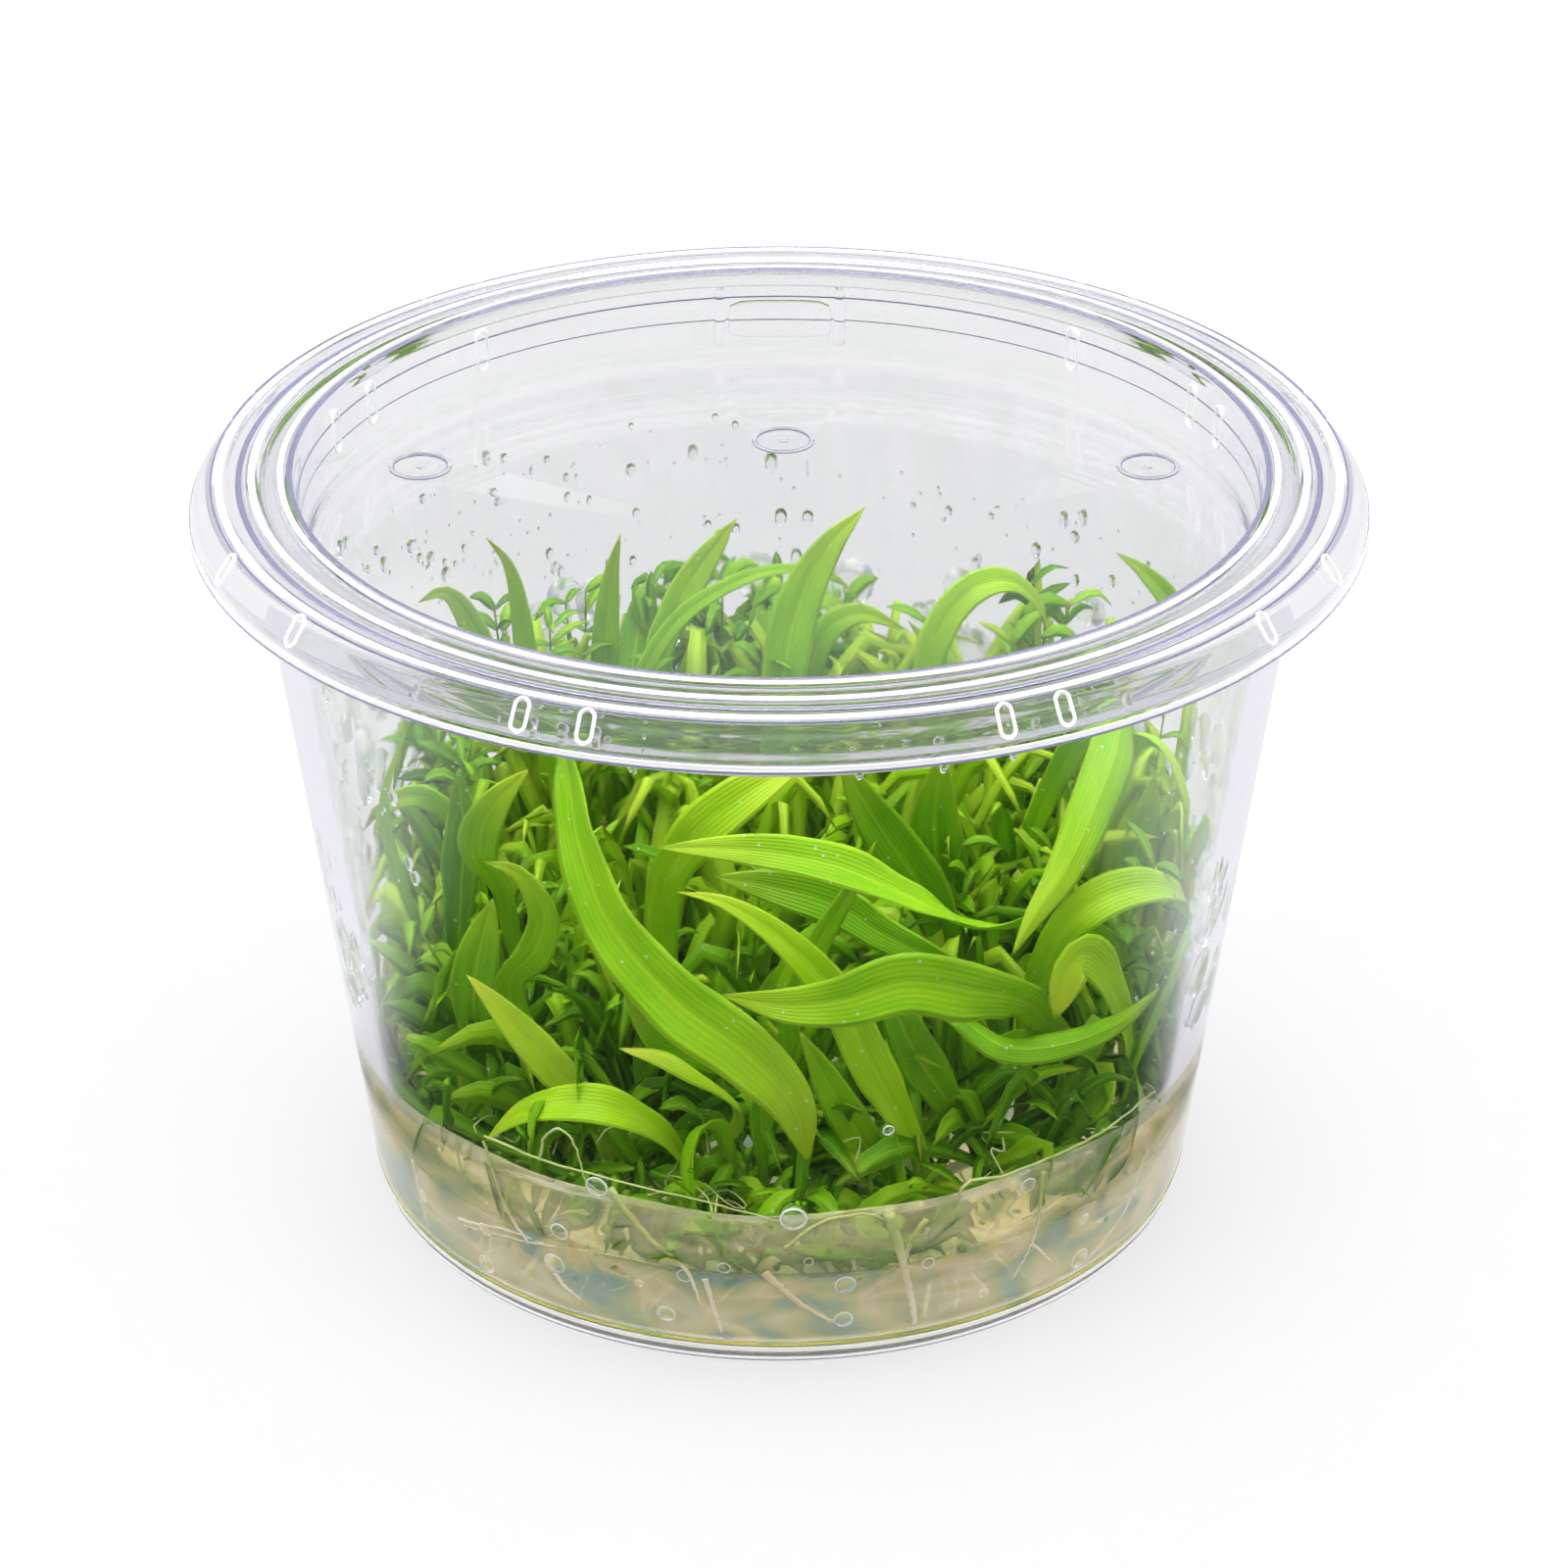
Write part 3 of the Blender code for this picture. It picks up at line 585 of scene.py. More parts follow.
@dataclass(frozen=True)
class LeafSkin:
    """Living leaf: waxed skin over a thin wet blade, lit through from behind.

    The eye gets a clear green that glows where the sun side is behind, fine lengthwise veins, a
    paler midrib and edge, a half-gloss sheen and a few whitish specks of droplets and painted glints.
    """

    name: str
    greens: tuple[str, ...] = ("#356E02", "#5C9E02", "#84C203", "#A4D60E", "#C0E234")
    rib: str = "#C6E63C"
    base: str = "#C6DA5C"
    tip: str = "#DCDC46"
    droplet_glint: str = "#F2F5E2"
    veins_across: float = 11.0
    roughness: float = 0.34
    glow: float = 0.3

    def material(self) -> Material:
        """The leaf skin, on the maps grain (mm), blade (share) and tone.

        Returns:
            The material.
        """
        made, add = new_material(self.name)
        grain, blade, tone = (add("UVMap", uv_map=name) for name in ("grain", "blade", "tone"))
        across, along = add("SeparateXYZ", {0: blade}).node.outputs[:2]
        place, yellow = add("SeparateXYZ", {0: tone}).node.outputs[:2]
        streak = add("Mapping", {"Vector": grain, "Scale": (0.9, 0.12, 1.0)})
        mottle = add("TexNoise", {"Vector": streak, "Scale": 1.0, "Detail": 3.0}, "Fac")
        spread = add("Math", {0: mottle, 1: 0.45, 2: -0.225}, operation="MULTIPLY_ADD")
        place = add("Math", {0: place, 1: spread}, operation="ADD", use_clamp=True)
        colour = set_stops(add("ValToRGB", {"Fac": place}), list(zip((0.0, 0.3, 0.6, 0.85, 1.0), self.greens)))
        # Pale stalk and yellowing tip
        foot = add("MapRange", {"Value": along, "From Min": 0.14, "From Max": 0.0, "To Max": 0.75})
        end = add("MapRange", {"Value": along, "From Min": 0.8, "From Max": 1.0})
        ended = add("Math", {0: end, 1: yellow}, operation="MULTIPLY")
        # Veins run along the blade and draw together with it
        phase = add("Math", {0: across, 1: TURN * self.veins_across}, operation="MULTIPLY")
        wave = add("Math", {0: phase}, operation="COSINE")
        vein = add("MapRange", {"Value": wave, "From Min": 0.2, "To Max": 0.06})
        aside = add("Math", {0: add("Math", {0: across, 1: 0.5}, operation="SUBTRACT")}, operation="ABSOLUTE")
        rib = add("MapRange", {"Value": aside, "From Min": 0.04, "From Max": 0.01, "To Max": 0.35})
        edge = add("MapRange", {"Value": aside, "From Min": 0.44, "From Max": 0.5, "To Max": 0.5})
        lines = add("Math", {0: rib, 1: edge}, operation="MAXIMUM")
        # Whitish specks of about a tenth of a millimetre, drawn at twice that so that they show: tiny droplets with
        # painted glints
        dots = add("TexVoronoi", {"Vector": grain, "Scale": 0.55}, "Distance")
        droplet_glint = add("MapRange", {"Value": dots, "From Min": 0.1, "From Max": 0.05, "To Max": 0.5})
        for share, code in ((foot, self.base), (ended, self.tip), (vein, self.rib), (lines, self.rib),
                            (droplet_glint, self.droplet_glint)):
            colour = add("Mix", {0: share, 6: colour, 7: linear(code)}, 2, data_type="RGBA")
        relief = add("Math", {0: wave, 1: 0.5, 2: mottle}, operation="MULTIPLY_ADD")
        bump = add("Bump", {"Height": relief, "Strength": 0.5, "Distance": 0.06 * MM})
        rough = add("Math", {0: mottle, 1: 0.25, 2: self.roughness - 0.1}, operation="MULTIPLY_ADD")
        living_finish(add, {"Base Color": colour, "Roughness": rough, "Normal": bump, "IOR": 1.42,
                            "Specular IOR Level": 0.36}, self.glow)
        return made


@dataclass(frozen=True)
class RootFlesh:
    """Root and crown flesh: pale, wet and a little green where it meets the light.

    The eye gets a cream thread with a soft gleam and greener, browner stretches.
    """

    name: str
    cream: str = "#F6EDCF"
    green: str = "#B4C868"
    brown: str = "#E6D8AC"
    patch_mm: float = 5.0
    glow: float = 0.25

    def material(self) -> Material:
        """The root flesh.

        Returns:
            The material.
        """
        made, add = new_material(self.name)
        where = add("TexCoord", out="Object")
        patch = add("TexNoise", {"Vector": where, "Scale": 1 / (self.patch_mm * MM), "Detail": 3.0}, "Fac")
        up = add("MapRange", {"Value": add("SeparateXYZ", {0: where}, 2), "From Min": GEL_TOP * MM,
                              "From Max": CROWN_TOP * MM, "To Max": 0.8})
        ground = set_stops(add("ValToRGB", {"Fac": patch}), [(0.35, self.brown), (0.5, self.cream),
                                                             (0.7, self.cream)])
        colour = add("Mix", {0: up, 6: ground, 7: linear(self.green)}, 2, data_type="RGBA")
        bump = add("Bump", {"Height": patch, "Strength": 0.4, "Distance": 0.1 * MM})
        living_finish(add, {"Base Color": colour, "Normal": bump, "Roughness": 0.36, "IOR": 1.4}, self.glow)
        return made


@dataclass(frozen=True)
class CondensedWater:
    """Water condensed in beads on the wall, held round by its own skin.

    The eye gets a small clear lens with a dark lower edge and one bright glint.
    """

    name: str
    tint: str = "#F8FAFA"
    clearness: float = 1.0
    ior: float = 1.33
    wobble_mm: float = 2.0

    def material(self) -> Material:
        """The water.

        Returns:
            The material.
        """
        made, add = new_material(self.name)
        wobble = add("TexNoise", {"Vector": add("TexCoord", out="Object"), "Scale": 1 / (self.wobble_mm * MM),
                                  "Detail": 1.0}, "Fac")
        rough = add("MapRange", {"Value": wobble, "To Min": 0.0, "To Max": 0.05})
        bump = add("Bump", {"Height": wobble, "Strength": 0.3, "Distance": 0.03 * MM})
        clear_finish(add, {"Base Color": linear(self.tint), "IOR": self.ior, "Transmission Weight": self.clearness,
                           "Roughness": rough, "Normal": bump}, "#F4F6F6")
        return made


@dataclass(frozen=True)
class Finishes:
    """Every finish of the object."""

    plastic: Material = field(default_factory=MouldedClearPlastic("clear_polypropylene").material)
    # Painted highlight and painted shade finishes, for bands and outlines that stand in for light and shade on the
    # clear plastic
    highlight_plastic: Material = field(default_factory=MouldedClearPlastic(
        "painted_highlight_polypropylene", tint="#FFFFFF", roughness=0.3, haze_roughness=0.45, clearness=0.6).material)
    shade_plastic: Material = field(default_factory=MouldedClearPlastic(
        "painted_shade_polypropylene", tint="#8C8CA6", roughness=0.15, haze_roughness=0.3, clearness=0.7).material)
    gel: Material = field(default_factory=SetAgarGel("agar_gel", 0.66, "#DEDCD2").material)
    film: Material = field(default_factory=SetAgarGel("agar_film", 0.8, grey="#C4CCA4", green="#DCE0B4").material)
    # Painted glow: a yellow-green band on the outside of the foot, where the gel's lower edge shows through
    painted_gel_edge_glow: Material = field(default_factory=SetAgarGel(
        "agar_painted_edge_glow", 0.6, cream="#E6E07A", pale="#D6D860", grey="#A8B44C", green="#C2CA50").material)
    strap_skin: Material = field(default_factory=LeafSkin("strap_leaf_skin").material)
    small_skin: Material = field(default_factory=LeafSkin("small_leaf_skin", veins_across=3.0, glow=0.42).material)
    root_skin: Material = field(default_factory=RootFlesh("root_flesh").material)
    crown_skin: Material = field(default_factory=RootFlesh("crown_flesh", "#CFDDA0", "#8FBF3A", "#A9C060").material)
    water: Material = field(default_factory=CondensedWater("condensed_water").material)
    pale_water: Material = field(default_factory=CondensedWater("clouded_water", "#FAFCF8", 0.88).material)
    # Painted highlight: whitened water for the bubbles' bright rims
    painted_rim_highlight: Material = field(default_factory=CondensedWater("painted_rim_highlight", "#FFFFFF", 0.55).material)


# Tub, lid and gel


@dataclass
class Tub:
    """Tapered tub with a flat foot and a rim flange."""

    foot_radius: float = 42.1
    neck: float = 75.0
    rim_top: float = 78.3
    rim_radius: float = 52.9
    # Painted bands on the foot as (height, half-height): highlights, shade lines with a painted contact shadow lowest,
    # and the glow where the gel's lower edge shows through
    painted_highlight_bands: Rows = ((1.85, 0.3), (0.5, 0.16))
    painted_shade_bands: Rows = ((1.1, 0.13), (0.14, 0.13))
    painted_gel_edge_glow: Rows = ((2.55, 0.16),)

    def on_foot(self, rows: Rows) -> Rows:
        """Full rows of the bands that lie on the foot's rounded edge."""
        return tuple((min(wall_radius(height), self.foot_radius + 0.75 * height ** 0.5) - 0.05, height, 0.1, high)
                     for height, high in rows)

    def build(self, finish: Finishes) -> None:
        """Turns the tub and dresses it, with painted highlight, shade and glow bands on its foot.

        Args:
            finish: the object's finishes.
        """
        corners = [(0, 0.25), (self.foot_radius - 2.4, 0.25, 0.4), (self.foot_radius - 1.6, 0.0, 0.5),
                   (self.foot_radius, 0.0, 0.6), (wall_radius(1.2), 1.2, 0.8), (wall_radius(self.neck), self.neck, 0.8),
                   (wall_radius(self.neck) + 0.6, 76.5, 0.5), (self.rim_radius, 76.7, 0.5),
                   (self.rim_radius, self.rim_top - 0.2, 0.5), (inner_radius(self.rim_top) + 0.8, self.rim_top, 0.4),
                   (inner_radius(self.rim_top), self.rim_top - 0.8, 0.4), (inner_radius(2.6), 2.6, 1.6),
                   (inner_radius(FLOOR_TOP) - 2.0, FLOOR_TOP, 1.2), (0, FLOOR_TOP)]
        make_piece("clear_tub", turned(rounded(corners)), finish.plastic, Slot.PLASTIC, ("cup",), 50)
        # Painted highlights, painted shade with a contact shadow, and a painted glow on the foot
        for name, rows, material in (("foot_painted_highlights", self.painted_highlight_bands, finish.highlight_plastic),
                                     ("foot_painted_shade", self.painted_shade_bands, finish.shade_plastic),
                                     ("foot_painted_gel_glow", self.painted_gel_edge_glow, finish.painted_gel_edge_glow)):
            make_piece(name, bands(self.on_foot(rows)), material, Slot.PLASTIC)


@dataclass
class Lid:
    """Lid with a sunk panel, a ring of beads and grooves, a sloping flank with clips, and gate marks."""

    panel_top: float = 70.0
    panel_thickness: float = 0.9
    # Clips on the flank and tabs on the ring's inner wall, in degrees from the front
    clips: tuple[float, ...] = (-24.0, -17.6, 20.9, 26.8, -51.8, -67.2, 52.5, 67.0, 100.0, 107.0, -100.0, -107.0,
                                138.0, 145.0, -138.0, -145.0)
    tabs: tuple[float, ...] = (-138.5, -117.5, -108.0, 139.3, 116.5, 109.3)
    flank: Rows = ((56.62, 79.3), (58.42, 76.75))
    inner_wall: Rows = ((48.02, 78.1), (47.82, 73.6))
    clip_half_width: float = 0.72
    clip_bead: float = 0.2
    # Painted bands as (radius, height, half-width, half-height): painted highlights on the crests and painted shade at
    # the edges
    crest_highlights: Rows = ((49.6, 79.74, 0.28, 0.12), (52.45, 79.6, 0.34, 0.12), (55.7, 79.38, 0.4, 0.1),
                    (58.74, 75.75, 0.16, 0.26))
    edges: Rows = ((48.72, 79.72, 0.3, 0.1), (53.75, 79.18, 0.3, 0.08), (56.5, 79.26, 0.12, 0.12),
                   (58.82, 75.35, 0.12, 0.12), (48.0, 77.0, 0.06, 0.1), (47.82, 74.5, 0.03, 0.07))
    marks: Rows = ((-37.4, 18.8), (0.4, 25.4), (38.4, 18.8))
    mark_radius: float = 3.1
    mark_section: Rows = ((-0.3, -0.3), (0.28, -0.3), (0.2, 0.14), (0.05, 0.26), (-0.1, 0.26), (-0.24, 0.14))
    dot_rows: Rows = ((0.5, -0.3), (0.5, 0.08), (0.35, 0.2))
    # The back tab and the pads beside it, as left, right, low, high and how far each stands in
    tab_pads: Rows = ((-5.6, 5.6, 72.6, 76.6, 0.9), (-7.1, -5.9, 71.8, 78.2, 1.2), (5.9, 7.1, 71.8, 78.2, 1.2))

    def outline(self) -> list[Array]:
        """Outline of the lid, from its panel over the ring to its lip and back below.

        Returns:
            (radius, height) points.
        """
        under = self.panel_top - self.panel_thickness
        return rounded([
            (0, self.panel_top), (46.9, self.panel_top, 1.2), (47.7, self.panel_top + 1.2, 1.0), (48.2, 79.0, 0.6),
            (48.6, 79.9, 0.5), (50.0, 79.9, 0.5), (50.5, 79.0, 0.4), (51.4, 79.0, 0.4), (51.9, 79.75, 0.4),
            (52.8, 79.75, 0.4), (53.2, 79.2, 0.4), (54.6, 79.2, 0.4), (55.1, 79.55, 0.4), (56.2, 79.45, 0.5),
            (56.8, 78.95, 0.5), (58.3, 77.1, 0.6), (58.5, 76.5, 0.4), (58.95, 75.9, 0.4), (58.95, 75.15, 0.3),
            (58.3, 75.1, 0.3), (58.0, 75.9, 0.3), (57.5, 76.3, 0.4), (56.1, 78.0, 0.6), (55.9, 78.75, 0.3),
            (55.3, 78.85, 0.3), (54.8, 78.6, 0.3), (53.0, 78.65, 0.3), (52.6, 79.1, 0.3), (52.1, 79.1, 0.3),
            (51.6, 78.55, 0.3), (50.4, 78.55, 0.3), (49.9, 79.2, 0.3), (49.3, 79.2, 0.4), (48.9, 78.2, 0.6),
            (48.2, under + 1.2, 1.0), (47.6, under, 0.9), (0, under)])

    def clip_pads(self) -> Draft:
        """Capsule-shaped raised outlines, in pairs on the flank and on the ring's inner wall.

        Returns:
            The draft.
        """
        draft = Draft()
        cosines, sines = circle(28).T
        for angles, line, way in ((self.clips, self.flank, 1), (self.tabs, self.inner_wall, -1)):
            top, low = np.array(line)
            down = unit(low - top)
            out = way * np.array([-down[1], down[0]])
            half = 0.5 * np.linalg.norm(low - top)
            shift = half + np.where(sines >= 0, 1, -1) * (half - self.clip_half_width)
            for angle in angles:
                side, _, away = wall_ways(angle)
                rings = []
                for across, rise in self.clip_bead * circle(8):
                    wide = self.clip_half_width + across
                    flat = top + (shift + wide * sines)[:, None] * down + (rise + 0.04) * out
                    level = flat[:, :1] * unit(away[:2]) + (wide * cosines)[:, None] * side[:2]
                    rings.append(np.column_stack([level, flat[:, 1]]))
                draft.loft(np.array(rings)[:, ::-way], looped=True)
        return draft

    def gate_rings(self) -> Draft:
        """Thin raised rings round the gate marks, and the gates' dots.

        Returns:
            The draft.
        """
        draft = Draft()
        for x, y in self.marks:
            draft.loft([[(x + (self.mark_radius + r) * c, y + (self.mark_radius + r) * s, self.panel_top + z)
                         for r, z in self.mark_section] for c, s in circle(48)], looped=True)
            draft.loft([ring(np.array([x, y, self.panel_top + z]), np.array([r, 0, 0]), np.array([0, r, 0]), 12)
                        for r, z in self.dot_rows])
        return draft

    def back_tab(self) -> Draft:
        """Opening tab on the ring's inner wall at the back, between two upright pads.

        Returns:
            The draft.
        """
        draft = Draft()
        steps = circle(28)
        squared = steps / (np.abs(steps) ** 6).sum(1, keepdims=True) ** (1 / 6)
        for left, right, low, high, deep in self.tab_pads:
            rings = []
            for share, depth in ((1.0, 0.6), (1.0, -0.6 * deep), (0.9, -0.9 * deep), (0.75, -deep)):
                x = 0.5 * (left + right) + 0.5 * squared[:, 0] * (right - left - (1 - share) * 1.2)
                z = 0.5 * (low + high) + 0.5 * squared[:, 1] * (high - low) * share
                rings.append(np.stack([x, np.sqrt((47.5 + 0.055 * (z - 71)) ** 2 - x * x) + depth, z], 1))
            draft.loft(np.array(rings)[:, ::-1])
        return draft

    def joined(self) -> bpy.types.Mesh:
        """The turned lid with its tab and marks as one mesh.

        Returns:
            The mesh.
        """
        lid = place_object("lid_base", turned(self.outline()[::-1]).mesh("lid_base", 50))
        tools = [place_object(name, draft.mesh(name))
                 for name, draft in (("rings", self.gate_rings()), ("tab", self.back_tab()))]
        for tool in tools:
            join = lid.modifiers.new(tool.name, "BOOLEAN")
            join.operation, join.solver, join.object = "UNION", "EXACT", tool
        bpy.context.view_layer.update()
        mesh = bpy.data.meshes.new_from_object(lid.evaluated_get(bpy.context.evaluated_depsgraph_get()))
        mesh.name = "clear_lid"
        for old in (lid, *tools):
            bpy.data.objects.remove(old, do_unlink=True)
        mesh.shade_smooth()
        mesh.set_sharp_from_angle(angle=math.radians(40))
        return mesh

    def build(self, finish: Finishes) -> bpy.types.Object:
        """Makes the lid, then the clip outlines, whitened by a painted highlight finish, and the painted highlight and
        shade bands on it.

        Args:
            finish: the object's finishes.

        Returns:
            The lid itself.
        """
        lid = make_piece("clear_lid", self.joined(), finish.plastic, Slot.PLASTIC, ("lid",))
        # Painted shade: dark lines just inside the gate rings
        lines = bands(((self.mark_radius - 0.28, self.panel_top + 0.06, 0.09, 0.08),), 48, self.marks)
        for name, draft, material in (("clip_outlines", self.clip_pads(), finish.highlight_plastic),
                                      ("ring_crest_highlights", bands(self.crest_highlights), finish.highlight_plastic),
                                      ("ring_edge_shade", bands(self.edges), finish.shade_plastic),
                                      ("gate_mark_shade_lines", lines, finish.shade_plastic)):
            make_piece(name, draft, material, Slot.PLASTIC)
        return lid


@dataclass
class Gel:
    """Gel that fills the foot of the tub, and the film with which it climbs the wall."""

    into_wall: float = 0.02
    film_thickness: float = 0.35

    def body(self) -> Draft:
        """The set gel, with a slightly uneven top and hollow bubbles.

        Returns:
            The draft.
        """
        wall, low = inner_radius(GEL_TOP), FLOOR_TOP - self.into_wall
        corners = [(0, low), (inner_radius(FLOOR_TOP) - 2.0, low, 1.2), (inner_radius(2.6) + self.into_wall, 2.6, 1.6),
                   (inner_radius(GEL_TOP + 0.7) + self.into_wall, GEL_TOP + 0.7, 0.1), (wall - 1.0, GEL_TOP + 0.5, 1.0),
                   (wall - 3.6, GEL_TOP, 1.5)]
        level = [(wall * share, GEL_TOP) for share in (0.8, 0.66, 0.53, 0.4, 0.27, 0.14, 0.0)]
        draft = turned(rounded(corners + level))
        verts = draft.verts[0]
        top = (verts[:, 2] > GEL_TOP - 0.05) & (np.hypot(verts[:, 0], verts[:, 1]) < wall - 2.0)
        x, y = verts[top, 0], verts[top, 1]
        verts[top, 2] += 0.35 * np.sin(0.31 * x + 1.1) * np.cos(0.27 * y) + 0.2 * np.sin(0.7 * x + 0.5 * y)
        for angle, height, radius in BUBBLES:
            if height < GEL_TOP:
                Water.ball(draft, on_wall(angle, height, 0.45 * radius), radius, inward=True)
        return draft

    def film(self) -> Draft:
        """The film on the wall above the gel, with a wavering upper edge.

        Returns:
            The draft.
        """
        low, rings = GEL_TOP + 0.4, []
        # Share of the rise and distance out of the wall, up the outer skin and down the inner one
        outer = [(share, self.into_wall) for share in (0.0, 0.25, 0.5, 0.75, 1.0)]
        inner = [(share, -self.film_thickness * (1 + 2.5 * (1 - share) ** 4)) for share in (0.95, 0.6, 0.25, 0.0)]
        for k, (c, s) in enumerate(circle(ROUND_STEPS)):
            turn = TURN * k / ROUND_STEPS
            top = FILM_TOP + 0.35 * math.sin(5 * turn) + 0.2 * math.sin(13 * turn + 1)
            heights = [(low + share * (top - low), off) for share, off in outer + inner]
            section = [(inner_radius(height) + off, height) for height, off in heights]
            section.insert(len(outer), (inner_radius(top) - 0.3 * self.film_thickness, top + 0.1))
            rings.append([(r * c, r * s, z) for r, z in section])
        draft = Draft()
        draft.loft(np.array(rings)[:, ::-1], looped=True)
        return draft

    def build(self, finish: Finishes) -> None:
        """Pours the gel and draws its film up the wall."""
        make_piece("agar_gel", self.body(), finish.gel, Slot.GEL, ("gel",), 60)
        make_piece("agar_film", self.film(), finish.film, Slot.GEL, (), 60)


# Plants


@dataclass
class Strap:
    """One strap leaf: its width, widest place, faces, age and route from its crown to its tip."""

    width: float
    widest: float
    base: Face
    tip: Face
    age: Age
    route: list[tuple[float, float, float]]


F, U, T, L, R, B = Face.TO_FRONT, Face.UP_FRONT, Face.UP, Face.TO_LEFT, Face.TO_RIGHT, Face.TO_BACK

